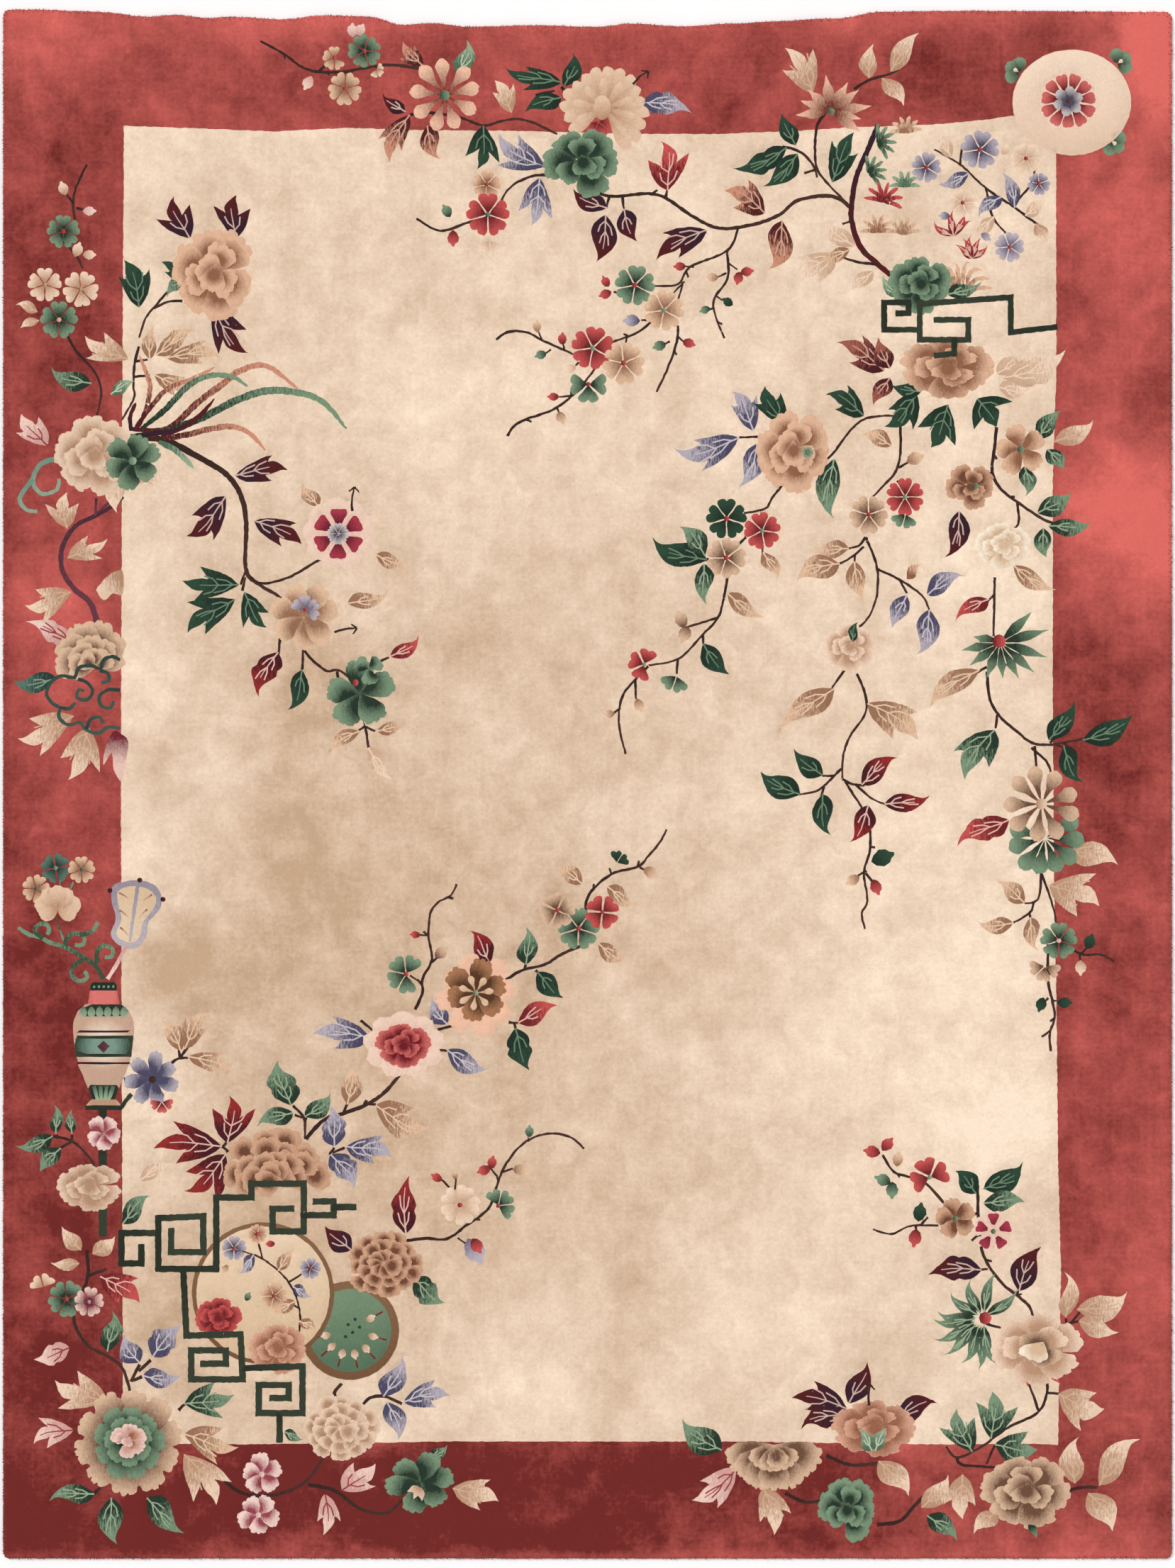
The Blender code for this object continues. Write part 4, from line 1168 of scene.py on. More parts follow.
def cloud_scroll():
    """The outlined cloud in the left border, cut off plainly at the field's edge."""
    group = design.group()
    for points in (
        (-107.9, 28.6, -1.7, .8, -2.2, -.8, -.6, -2, -2.2, .8, -2.8, -.6, -1, -2.2, -3, .4, -2.6, -1.6,
         -.8, -2.8, 1.6, -2.2, 1.4, -.8, -.2, -2.2, 2.2, -1.8, 2.6, .6, 1.6, -1.8, 2.8, -.6, 2.2, 1.4, 2.7,
         -.4), (-117.6, 24.2, 2.2, -.8, 1.2, -2.2, -1.4, -1.8, -2.2, .6, .4, 1.8, 1.2, -.4),
        (-107.9, 21.6, -2.5, .2, -2.2, -1.4, .4, -2.4, 2.2, -.4, .6, 1.6),
        (-112.6, 26.2, 1.8, -.6, .4, -1.8, -1.8, -.4), (-121.8, 17.6, 2.2, -.2, 1.4, 1.4),
        (-115.6, 12.6, .8, 2.2, 2.2, .6, .8, -1.4),
    ):
        ribbon(walked(points), 0.0085, 0.0080, "rush", LATTICE, 0.0, group)


def border_blossoms():
    """The small flowers on curled green vines over the vase."""
    blossoms(
        (-122.8, -19.4, 3.3, "teal", 4, 4, 55, "mint"), (-116.8, -19.8, 3.1, "tan", 5, 5, 20, "teal"),
        (-127.3, -24.2, 3.2, "tan", 5, 5, 70, "teal"))
    stems(
        (-122.4, -31, .4, -2, 1.2, -3.4), (-120.2, -26, 1.6, 3.4), (-121.6, -24.6, -.3, 3), width=0.45,
        end_width=0.4, dye="leek")
    for angle, reach, width in (
        (168, 5.4, 4.2), (12, 5.4, 4.2), (206, 4.6, 3.6), (334, 4.6, 3.6), (124, 5.2, 4), (56, 5.2, 4),
        (90, 5.2, 4),
    ):
        petal((-1.223, -0.286), math.radians(angle), reach * CM, width * CM, "round", "almond", -0.1)
    for points in (
        (-111.7, -45, -1.5, 2.6, -1.5, 1.4, -2.5, 1.5, -3.3, 1.8, -3.5, 1.1, -2.7, 1.4, -2.2, .4, -2.5,
         1.7), (-125.6, -35.6, -1.6, 1.2, -.2, 1.3, 1.8, .9, 1.4, -1.1, -.5, -1.5),
        (-120.5, -37.7, .4, 2.2, 1.8, 1.1, 2.2, -.8, -.4, -1.8, -1.8, -.2),
        (-117.2, -34.8, 2.9, .7, 1.3, 2.2), (-113.2, -41.4, 0, 2.6, 1.4, 1.5, 2.2, -.8, -.3, -1.8, -1.5, 0),
        (-116.5, -40.6, -2.2, -1.5, -.3, -2.2, 1.8, -1.2, 1.8, .9, -.7, 1.4),
    ):
        ribbon(walked(points), 0.0115, 0.009, "leek", STALKS, 0.0, STEM_GROUP["leek"])


def vase_and_fan():
    """The plain banded vase on its stand and pole, with a leaf-shaped fan in it."""
    patch(
        (-103.4, -22.2, 3.8, -1.4, 1.4, -3.5, -1.4, -2.9, -1.8, -2, -.5, -3.2, -2.3, -2.7, -3.6, .5, -2.3,
         2.6, 1.2, 3.6, -.9, 4.1, .2, 3.5, 3, 1.1), "mist", FOLIAGE)
    patch(
        (-103.8, -23.6, 3.2, -1.2, 1.1, -2.3, -1.5, -2.7, -1.7, -2.2, -.5, -2.9, -1.7, -1.7, -2.3, .4,
         -1.6, 1.6, 1.2, 3.4, -.9, 4.1, .1, 2.3, 2, 1), "husk", BLOOM)
    ribbon(walked((-103.8, -23.4, -.8, -5.6, -1, -7.4)), 0.009, 0.007, "mist", BLOOM)
    for x, y, dx in (
        (-106.6, -26, 1.5), (-101.8, -26.4, -1.3), (-106.8, -30, 1.2), (-102.6, -29.8, -1),
        (-106.8, -34, 1.1),
    ):
        ribbon(pairs((x - dx, y + 0.9, x, y, x + dx, y - 1.2)), 0.004, 0.003, "tan", BLOOM)
    for x, y in ((-103.4, -22.2), (-98, -26.6), (-110.2, -24.6)):
        dot(x, y, 0.6, "maroon")
    ribbon(walked((-106.6, -37.6, -2, -4, -2.2, -3.4)), 0.008, 0.009, "blush", FOLIAGE, 0.0)
    for profile, dye in (
        (((-45.8, 2.6), (-46.6, 3.1), (-47.8, 3.1)), "pine"),
        (((-47.7, 3.2), (-49, 3.3), (-50.9, 3.7)), "collar"),
        (((-50.9, 4.2), (-52.4, 5.9), (-54.2, 6.8), (-56.4, 7.1), (-60.7, 6.7), (-65, 5.8), (-69.5, 3.9),
         (-70.6, 3.4)), "glaze"), (((-50.9, 4.2), (-52.4, 5.8), (-53.6, 5.2)), "fret"),
        (((-56.9, 7.0), (-57.4, 6.95)), "maroon"), (((-58.1, 6.9), (-63, 6.4)), "fret"),
        (((-58.8, 6.5), (-62.3, 6.1)), "band"), (((-64.2, 6.1), (-64.7, 6.0)), "maroon"),
        (((-69.5, 3.8), (-72.9, 2.6)), "fret"), (((-72.8, 2.8), (-74.4, 4.2)), "cream"),
        (((-74.2, 4.4), (-75.3, 4.2)), "fret"),
    ):
        turned(-111.7, profile, dye)
    for k in range(6):
        petal(
            (-1.164 + 0.0188 * k, -0.513), math.radians(270), 0.025, 0.0165, "round", "mint", -0.2, LATTICE)
    for k in range(5):
        dot(-113.9 + 1.1 * k, -46.8, 0.32, "mint", LATTICE)
    for k in range(4):
        fret((-113.8 + 1.4 * k, -70.2, 0.7 - 0.5 * k, -2.4), 0.85, "mint", carve=0.0)
    patch((-113.1, -60.6, 1.4, 1.4, 1.4, -1.4, -1.4, -1.4), "plum", LATTICE, smooth=False, carve=0.0)
    fret((-107.8, -74.8, 2.2, 2.8), 1.0)
    ribbon(walked((-111.9, -75.2, 0, -14.8, 0, -14.5)), 0.019, 0.019, "fret", STALKS)
    mallow(-100.4, -68.2, 6.3, "blue", 7, 30, 0.46, "bark")
    blossom(-98.3, -73.4, 2.6, "claret", 5, 3, 200, None)
    stems(
        (-107, -68.2, 3, .8, 2.6, -.6), (-96.2, -64.6, 1.8, 1.2, 2.2, .2), (-94, -63, -.4, 1.6),
        (-94, -63.2, 1.8, 2.6), width=0.7, end_width=0.6)
    leaves(
        (-93.9, -61.6, -4.3, 7, 4.6, "tan"), (-93, -61.2, 6, 8.4, 5.4, "tan", "lobed"),
        (-92.2, -62.9, 9.6, -3.5, 4.6, "tan", "lobed"))


def turned(x, profile, dye, layer=LATTICE):
    """A shape that is the same on both sides of an upright line, from its heights and half widths."""
    sides = [(x + half, y) for y, half in profile] + [(x - half, y) for y, half in reversed(profile)]
    ring = stepped([(x * CM, y * CM) for x, y in sides])
    middle = (x * CM, sum(y for y, _ in profile) / len(profile) * CM)
    design.add(layer, ring, dye, middle, (middle[0] + 0.01, middle[1]), SHALLOW * CARVE_DEPTH, VASE_GROUP,
               spot=0.075)


VASE_GROUP = design.group()


def lower_left():
    """The leaves and flowers round the vase's pole, and the branch that climbs into the field."""
    leaves(
        (-122.7, -80.7, -.4, 6.7, 3, "green"), (-119, -80.7, 0, 5.6, 2.6, "green"),
        (-123.4, -81.3, -8.8, -2.2, 4.2, "green"), (-121.6, -84.1, -4.8, -5.5, 4.2, "green"),
        (-83.1, -82.9, .4, 10.9, 8, "crimson", "trident"),
        (-84.4, -83.7, -15.8, -.5, 8, "crimson", "maple"),
        (-83.5, -85.5, -9.6, -8.5, 8, "crimson", "trident"), (-68.4, -74.2, -3, 10.4, 7, "green", "wavy"),
        (-67.9, -75.9, -8.4, -3.1, 4.6, "green"), (-65.3, -76.8, 5.9, 5.5, 4.6, "green"),
        (-55.4, -74, .5, 8.9, 5, "tan"), (-48.9, -74.2, 12.6, -4.8, 8, "tan", "lobed"),
        (-58.4, -83.7, -.9, 9.5, 6, "blue", "wavy"), (-55.8, -83.7, 10.6, -2.6, 6.4, "blue", "lobed"),
        (-59.3, -85.5, 5.2, -8.5, 6, "blue", "wavy"), (-50.2, -58.6, -13.2, .9, 7, "blue", "lobed"),
        (-32.4, -61.4, 9.7, -4.3, 5, "blue"), (-32.4, -55.4, -3.5, 6.1, 4.6, "blue"),
        (-22.6, -41.4, -4.4, 7.5, 5, "crimson"), (-16, -55.1, 9.1, 3.9, 5, "rose"),
        (-16.6, -56.4, 3.2, -9.8, 6, "pine", "wavy"), (-14.2, -41.7, 0, 8.7, 4.8, "green"),
        (-11.6, -43.4, 6, -5.9, 5, "pine"), (-1.2, -23.1, -6.3, 3.9, 4, "tan"),
        (4.5, -23.6, 6.9, -4.4, 4, "tan"), (2.5, -36.8, 6.9, -3.5, 4, "tan"),
        (-41.9, -103.9, .8, 13.5, 6, "crimson", "wavy"), (-54.5, -107.6, -6.1, 5.6, 5.4, "maroon"),
        (-40.2, -114.1, 7.4, -5.7, 6, "green", "wavy"), (-103.4, -91.6, 7.8, 4, 3.2, "pale"))
    stems(
        (-123.4, -81.3, 4.4, -1.1, 3.4, -3.1, 1.8, -2.5), (-122.6, -81, .2, -1), (-119, -81, 0, -1.6),
        (-121.6, -84, 2.6, 1.4), (-68, -74.2, 2.6, -3, .2, -4.8), (-67.6, -76.4, 1.8, -.6),
        (-65, -77, -.2, -2), (-83, -85, -1.2, 1.2, -3.8, .2), (-84.2, -83.8, 1, 1.2),
        (-58.4, -84, -1.2, -1.6), (-56, -84, -3.4, -1.4), (-50.6, -73.8, 1.8, -.2), (-52.4, -54.6, 3.8, -3),
        (-34.6, -61.4, 2.2, -.2), (-34.6, -56.7, 3.9, 1.1, 3.9, 2.2), (-30, -55, 1.4, 3.4, 1.6, 1.8),
        (-18.2, -55, 2.2, -.2), (-17, -55, .4, -1.4), (-22.4, -42.6, -.3, 1.4), (-14.2, -41.7, -.4, -1.1),
        (-12, -43, .8, -.8), (-56.2, -75.8, .8, 2.2), width=0.66, end_width=0.55)
    stem((-65, -82, 4, 4.3, 5.2, 1.8, 5.2, 2.1, 4.3, 3.1, 4.8, 6, 1.5, 1.7), 1.0, 0.8, spurs=True)
    stem((-19.4, -45.6, 4.3, 2.6, 5.2, 1.3, 4.3, 2.6, 5.2, 2.2), 0.7, 0.7)
    stem((-.4, -30, .7, 4.4, 5.2, 4.8, 6.1, 1.7, 2.5, 2.6, 2.6, 3, 1.6, 3), 0.7, 0.5, spurs=True)
    stem(
        (-39.8, -52.1, 1.8, 4.1, -.2, 2.8, 2.3, 4.8, -.8, 5.2, .4, 5.2, 1.7, 2.6, 3.1, 1.7, 1.3, 2.6), 0.7,
        0.5, spurs=True)
    stem(
        (-41.9, -105.5, 4.3, .6, 5.2, -.1, 4.3, 3, 5.2, 3.9, 1.8, 4.8, 2.1, 5.2, 4.3, 5.2, 5.7, 2.2, 5.2,
         -.9, 3, -2.6), 0.7, 0.5)
    stems(
        (-20.8, -90.6, -1.6, 1.8), (-19.6, -89.6, 2.4, .8), (-13.6, -82.6, 0, 1.4),
        (-33.6, -91.4, 2.8, -2.4, .4, 3.8), (-37, -35, -2, .2), (-36, -41.2, 1.6, 1.4),
        (-41, -44.2, 2.2, -1.4), (12, -19.2, 1.4, -.8), (5.5, -20.8, -.5, 1.4), (-30, -104.8, 2.6, -1.8),
        width=0.5, end_width=0.45)
    for k in range(9):
        petal(
            (-0.424, -0.602), 2 * math.pi * k / 9 + 0.2, 0.090, 0.058, "round", "halo", 0.0, FOLIAGE,
            (1.06, 0.86))
    peony(-42.4, -60.4, 6.4, 5.2, "claret", 20, petals=7)
    mallow(-25.4, -48.8, 9.6, "peach", 8, 10, 0.46, start=-0.6)
    mallow(-25.8, -48, 7.4, "bronze", 6, 20, 0.60)
    aster(-25.8, -48.2, 4.2, "tan", 7, 0.46, "spoon", "mint", 5, start=-0.6)
    blossoms(
        (-2.1, -33.4, 4.8, "green", 5, 5, 90), (-7, -29.2, 4, "brown", 4, 4, 20),
        (3.4, -29.6, 3.8, "rose", 4, 4, 40), (6.7, -18.2, 2.8, "pine", 5, 2, 20, None),
        (-41.9, -43.9, 4.4, "green", 5, 4, 60), (-29.4, -97.2, 4.6, "pale", 5, 5, 70, "rose"),
        (-20.6, -97.4, 3.8, "green", 5, 3, -30, "rose"))
    buds(
        (14.6, -20.4, 1.7, "tan", 330), (-39.8, -34.8, 1.1, "rose", 180), (-33.8, -38.9, 1.7, "brown", 40),
        (-13.4, -80.2, 1.3, "green", 90), (-23.9, -89.2, 1.5, "rose", 200), (-22, -87.4, 1.4, "rose", 80),
        (-34.8, -90.9, 1.3, "rose", 150), (-15.4, -89, 1.7, "tan", 0), (-30.6, -90.2, 1, "tan", 90),
        (-26, -107.8, 3, "lavender", 300), (-25.6, -106.6, 1.8, "rose", 300))
    mallow(-111.7, -80.7, 4.2, "orchid", 5, 60)
    peony(-114.9, -93, 7.8, 5.4, "ivory", 20, petals=6)
    scaled(-71.9, -91.6, 12.6, 12, "cocoa", 4)
    scaled(-47, -110.8, 8.6, 7.4, "cocoa", 3, (0, 340))


def lower_fret():
    """The stepped lattice of the bottom left corner, with the two round frames behind it."""
    group = design.group()
    for row in (
        (-103, -107, 0, -3.7, -4.6, 0, 0, 7, 8.1, 0), (-99.1, -100.3, 10.4, .5, 0, -8.3, -7.4, 0, 0, 4.8),
        (-99.1, -100.3, 0, -11.7, 13.4, 0, 0, 16.5, 8.1, 0, 0, 3.2, 12.1, 0, 0, -11, -7.2, 0, 0, 5.2, 4.3,
         0), (-65.5, -99.6, 6.9, 0, 0, 3.2, -4.1, 0), (-58.6, -97.7, 4.5, 0),
        (-93.3, -112.4, .7, -15, 12.5, .3, .5, -10.4, -11.9, 0, 0, 6.7, 8, 0, 0, -3.1, -5.2, 0),
        (-79.2, -134.9, 13.4, .4, 0, -10.8, -10.1, 0, 0, 6.5, 6.9, 0, 0, -3, -3.7, 0),
        (-71.1, -145.7, 0, -5.7),
    ):
        fret(row, group=group)


def round_frames():
    """The pale roundel and the green disc, filled with generic sprigs and blossom."""
    disc(-54.9, -126.2, 11.4, 11.4, "rim", BACKDROP)
    disc(-54.9, -126.2, 9.6, 9.6, "pond", BACKDROP)
    for angle in (-168, -138, -108, -78, -48, -14, 30):
        out = (math.cos(math.radians(angle)), math.sin(math.radians(angle)))
        ribbon(
            pairs((-54.9 + 8.8 * out[0], -126.2 + 8.8 * out[1], -54.9 + 6.2 * out[0],
             -126.2 + 6.2 * out[1])), 0.004, 0.003, "dusk", BACKDROP)
        bud(-54.9 + 5.6 * out[0], -126.2 + 5.6 * out[1], 1.1, "ivory", angle, BACKDROP)
    for x, y in ((-53.6, -123.6), (-55.2, -124.8), (-52.6, -125.4), (-54.2, -126.6), (-55.8, -127.6)):
        dot(x, y, 0.4, "pine", BACKDROP)
    disc(-74.9, -117.6, 16.4, 16.4, "rim", BACKDROP)
    disc(-74.9, -117.6, 15.4, 15.4, "husk", BACKDROP)
    stems(
        (-67, -130, .6, 8, -2.6, 7, -6, 5.4, -6, 2), (-69, -115, 4.4, 2.6), (-66.6, -121, -4, 2.4),
        (-75, -109.6, -1, 4), width=0.5, end_width=0.4)
    leaves(
        (-68, -116, 4.4, -2.4, 2.8, "blue"), (-71.4, -112.4, 3.8, 5, 3, "tan"),
        (-66.6, -124, 4, -3, 2.8, "tan"), (-67.4, -119.4, -6.2, -2.2, 3.2, "tan"),
        (-77, -108.6, -3.4, -4.4, 3, "blue"))
    blossoms(
        (-81.6, -107.2, 2.8, "blue"), (-76.2, -103.9, 2.2, "coral"), (-64, -111.9, 2.4, "blue"),
        (-72.4, -118.2, 3, "coral"))
    buds((-73.2, -106.2, 1, "rose"), (-83.6, -112, 1, "tan"), (-78.4, -118.4, 1, "green"))
    peony(-85.3, -123.4, 5.4, 4.6, "rose", 0, petals=6)
    peony(-71.4, -130.4, 6.8, 5.6, "copper", 20, petals=7)


def bottom_left():
    """The great peony of the bottom left corner and the flowers of the border beside it."""
    leaves(
        (-107.3, -101.6, 6.3, 6.5, 4.5, "green"), (-116.9, -107.6, -4.5, 5.4, 4, "cream"),
        (-114.3, -108.5, 5.2, 4.1, 4, "cream"), (-117.3, -110.7, -6.7, .2, 3, "cream"),
        (-112.5, -113.7, 9.1, -6.1, 7, "rose", "lobed"), (-110.8, -131, 1.1, 9.3, 5, "green", "wavy"),
        (-119.5, -130.1, -8.4, -2.8, 5, "blush", "wavy"), (-103.4, -133.6, -3.5, 6.5, 5.5, "blue"),
        (-100.4, -132.3, 6.9, 7.3, 6.5, "blue", "wavy"), (-102.6, -136.6, 8.9, 0, 4.6, "blue"),
        (-110.8, -142.7, -12.1, 5, 8, "cream", "maple"), (-118.6, -149.2, -9.3, -3.2, 6, "blush", "maple"),
        (-113.8, -163.9, -10.6, -1.8, 4.6, "green"), (-109.9, -164.8, 1.3, -10.8, 6, "green"),
        (-101.7, -164.8, 8.6, -8.2, 6, "green"), (-93.1, -154.8, 7.4, -11.7, 8, "cream", "trident"),
        (-93.1, -150.1, 12.6, -3, 7, "tan", "maple"), (-93.1, -143.1, 11.5, 2.1, 7, "green", "maple"),
        (-56.7, -163.1, 7.8, 6.1, 7, "blush", "lobed"), (-60.6, -163.9, -.4, -9.6, 5, "blush", "lobed"),
        (-31.1, -162.6, 10.6, -3.1, 7, "cream", "lobed"), (-47.1, -141.4, 4.3, 9.4, 5.6, "blue"),
        (-42.4, -142.7, 10.6, 1.5, 6, "blue", "lobed"), (-46.3, -142.7, 2.6, -8.9, 5, "blue"),
        (-70, -149.5, 4.4, -1.9, 2.6, "green"), (-36.4, -155.6, 4, 3, 3, "green"))
    stems(
        (-115.6, -107.6, .2, -6.5, -3.2, -8.7, 3, -6.5, 5.2, -3, 3.1, -2.6, 1.7, -5.2),
        (-115.4, -113.6, 4.4, 1.6), (-103.4, -134, -2, -4), (-100.8, -133, -2.8, -2.6),
        (-102.8, -136.8, -2.2, -1), (-94.4, -144.6, 1.4, 1.4), (-52.3, -144, 2.1, 2.3, 3.5, .3, 3.9, -1.7),
        (-58, -142.3, -.4, 1.8, 1.7, 2.1), width=0.8, end_width=0.7)
    stems(
        (-85.7, -158.3, 3.9, -4.3, 5.2, -1.8, 6.9, .9, 5.2, 3, 3.9, 5.7),
        (-64.5, -161.8, 6.1, -1.3, 6.1, -4.3, 6, -.9, 3.5, 3.1), (-77, -163.9, 1.4, 2.7),
        (-76.6, -164.6, 1, -2.4), (-114, -164, 2.4, 2.4), width=0.9, end_width=0.7)
    blossoms(
        (-120.3, -118.9, 4.2, "green", 5, 5, 60, "rose"), (-125.6, -116.2, 3, "cream", 4, 2, 60, None),
        (-115.1, -119.6, 3.4, "magenta", 5, 5, 80, "blue"))
    for k in range(10):
        petal(
            (-1.058, -1.520), math.radians(36 * k + 12), 0.126 * dice.uniform(0.94, 1.05), 0.058, "fan",
            "brown", 0.48, BLOOM, (1.0, 0.98), 0.05)
    for k in range(9):
        petal(
            (-1.058, -1.520), math.radians(40 * k + 4), 0.086 * dice.uniform(0.92, 1.06), 0.046, "fan",
            "green", 0.45, BLOOM, (0.94, 1.0), 0.05)
    for k in range(7):
        petal(
            (-1.060, -1.518), math.radians(51 * k + 20), 0.056, 0.036, "fan", "green", 0.3, BLOOM,
            (1.0, 1.06), 0.05)
    peony(-106, -151.6, 4.3, 3.9, "blush", 0, "copper", "blush", petals=5)
    for x, y, turn in ((-75.2, -159.4, 20), (-76, -168.8, 200)):
        mallow(x, y, 4.8, "orchid", 5, turn, None, "blush")
    scaled(-57.1, -148.8, 8.8, 7.6, "ivory", 3, (0, 330))
    mallow(-38.4, -161.3, 8, "green", 6, 12, 0.60, None, 0.86)
    aster(-38.6, -162.2, 3.4, "cream", 3, 0.5, "point", None, 200, 80)


for part_of_design in (
    top_spray, hanging_twigs, top_right, upper_left, left_branch, left_border, right_canopy, middle_column,
    right_border, lower_right, lower_left, vase_and_fan, round_frames, upper_fret, lower_fret, bottom_left,
    medallion,
):
    part_of_design()

# Where the ground is painted lighter (above 0) or darker, as soft ovals in centimetres: the wool's uneven
# dyeing mixed with painted nap sheen and painted shade, plus painted highlights along the rolled edges and
# painted shade down the left edge
ToneAndSheen = namedtuple("ToneAndSheen", "x y rx ry amount")
FIELD_TONE_AND_SHEEN = [ToneAndSheen(*row) for row in (
    (-60, -44, 34, 84, -0.44), (-2, -34, 30, 22, -0.26), (-6, -84, 32, 30, -0.22), (0, 30, 26, 24, -0.20),
    (-66, 30, 22, 22, -0.20), (90, -46, 26, 40, 0.26), (98, -76, 16, 14, 0.26), (92, 42, 24, 12, 0.18),
    (-100, 26, 7, 12, 0.20), (-96, -14, 9, 10, 0.22), (-100, -74, 9, 14, 0.26), (-82, 4, 8, 9, 0.24),
    (-24, 92, 30, 14, 0.16), (-100, 146, 12, 8, 0.10), (52, -114, 14, 12, 0.16), (12, -115, 10, 12, -0.12),
    (64, -60, 10, 16, 0.08), (86, 80, 30, 40, 0.06), (-104, 0, 4, 150, 0.08), (-80, 120, 16, 12, -0.06),
    (30, -35, 12, 10, -0.10), (-20, -142, 40, 8, 0.10), (-102, 75, 8, 14, -0.20), (-102, 5, 6, 7, -0.28),
    (-68, -10, 14, 12, -0.22), (-93, -46, 12, 14, -0.36), (-98, -120, 10, 16, -0.34),
    (-86, -142, 12, 8, -0.26), (-70, -104, 12, 14, -0.18), (30, -15, 8, 8, -0.30), (30, -55, 8, 10, -0.22),
    (10, -95, 8, 12, -0.28), (8, -136, 9, 10, -0.20), (70, -135, 10, 9, -0.20), (-28, 32, 12, 14, -0.14),
    (94, 56, 12, 12, 0.20), (-84, -118, 26, 28, -0.18), (-30, -106, 24, 26, -0.12), (-6, -2, 30, 26, -0.10),
    (-98, -40, 12, 10, -0.24),
)]
BORDER_TONE_AND_SHEEN = [ToneAndSheen(*row) for row in (
    (-124, 172, 18, 10, 0.34), (-60, 176, 70, 5, 0.26), (40, 177, 60, 4, 0.16), (131, 172, 10, 14, 0.72),
    (-120, 120, 14, 38, -0.18), (-62, 162, 14, 10, -0.12), (80, 166, 22, 8, -0.10), (-30, 158, 10, 5, 0.12),
    (-122, 40, 14, 24, 0.26), (-122, -6, 10, 12, 0.14), (-122, -30, 14, 8, -0.10),
    (-122, -100, 14, 40, -0.22), (-110, -165, 60, 30, -0.34), (-20, -165, 60, 20, -0.32),
    (124, 122, 12, 34, 0.24), (130, 90, 6, 10, -0.26), (126, 62, 14, 16, 0.46), (120, 8, 12, 20, -0.24),
    (113, -70, 6, 20, 0.14), (130, -112, 6, 10, 0.18), (50, -162, 20, 10, -0.14), (112, -176, 30, 6, 0.12),
    (-122, 152, 14, 10, -0.15), (-117, 100, 8, 16, -0.14), (-122, -66, 14, 54, -0.12),
    (-130, -140, 8, 16, -0.12), (-120, 30, 8, 6, 0.14), (126, 72, 12, 24, 0.24), (118, -60, 14, 36, -0.10),
    (126, 22, 12, 12, -0.10), (82, 164, 16, 12, -0.14), (6, -158, 62, 4, -0.20), (20, -176, 50, 3, -0.20),
    # The thin rows at y -178.4 and 178 and near x 131-133 are painted highlights along the rolled edges; the
    # row at x -134.2 is painted shade down the left edge.
    (-113, 8, 5, 24, -0.16), (0, -178.4, 150, 1.4, 0.34), (0, 178, 150, 2.0, 0.14),
    (-134.2, 0, 1.4, 190, -0.14), (133, 168, 6, 16, 0.34), (132, 54, 6, 20, 0.26), (114, 58, 5, 14, 0.16),
    (-122, -44, 14, 24, -0.12), (-10, -168, 130, 12, -0.08), (112, -4, 7, 8, 0.16),
    (62, -157, 10, 4, -0.18),
)]


def tone_and_sheen(x, y, tone_and_sheen_spots, start):
    """How light the ground is painted there, from 0, dark, to 1, light: uneven dyeing together with painted
    sheen and painted shade.
    """
    value = start
    for spot in tone_and_sheen_spots:
        far = ((x / CM - spot.x) / spot.rx) ** 2 + ((y / CM - spot.y) / spot.ry) ** 2
        if far < 9:
            value += spot.amount * math.exp(-far)
    return value


def inside(points, ring):
    """Which of the points lie inside the ring."""
    x, y = points[:, 0][:, None], points[:, 1][:, None]
    ax, ay = ring[:, 0][None, :], ring[:, 1][None, :]
    bx, by = np.roll(ring[:, 0], -1)[None, :], np.roll(ring[:, 1], -1)[None, :]
    spans = (ay > y) != (by > y)
    rise = np.where(by == ay, 1e-12, by - ay)
    left_of = x < (bx - ax) * (y - ay) / rise + ax
    return (spans & left_of).sum(1) % 2 == 1


def uncovered(shapes, rings):
    """For each shape, which points of its outline no later shape covers, nor one of its own group."""
    boxes = np.array([[*ring.min(0), *ring.max(0)] for ring in rings])
    groups = np.array([shape.group for shape in shapes])
    order = np.arange(len(shapes))
    shown = []
    for i, ring in enumerate(rings):
        low, high = boxes[i, :2], boxes[i, 2:]
        meets = (boxes[:, :2] <= high).all(1) & (boxes[:, 2:] >= low).all(1)
        over = np.nonzero(meets & ((order > i) | (groups == groups[i])) & (order != i))[0]
        clear = np.ones(len(ring), bool)
        for j in over:
            clear &= ~inside(ring, rings[j])
        shown.append(clear)
    return shown


def thinned(ring, clear):
    """The outline with fewer points where it doesn't show."""
    near = clear | np.roll(clear, 1) | np.roll(clear, -1)
    kept = ring[near | (np.arange(len(ring)) % 4 == 0)]
    return kept if len(kept) > 3 else ring


def tree_of(points):
    """A search tree of points in plan."""
    tree = kdtree.KDTree(len(points))
    for i, (x, y) in enumerate(points):
        tree.insert((x, y, 0.0), i)
    tree.balance()
    return tree


def shoulders(shapes, rings, shown, carved):
    """Points on each side of the carved outlines, where the pile is back at its full height."""
    found = []
    for shape, ring, clear in zip(shapes, rings, shown):
        if not shape.carve:
            continue
        ahead = np.roll(ring, -1, 0) - np.roll(ring, 1, 0)
        ahead /= np.maximum(np.linalg.norm(ahead, axis=1), 1e-9)[:, None]
        aside = np.stack([-ahead[:, 1], ahead[:, 0]], 1) * CARVE_HALF
        for k in range(0, len(ring), 2):
            if not clear[k]:
                continue
            for point in (ring[k] + aside[k], ring[k] - aside[k]):
                if carved.find((*point, 0.0))[2] > 0.72 * CARVE_HALF:
                    found.append(tuple(point))
    return found


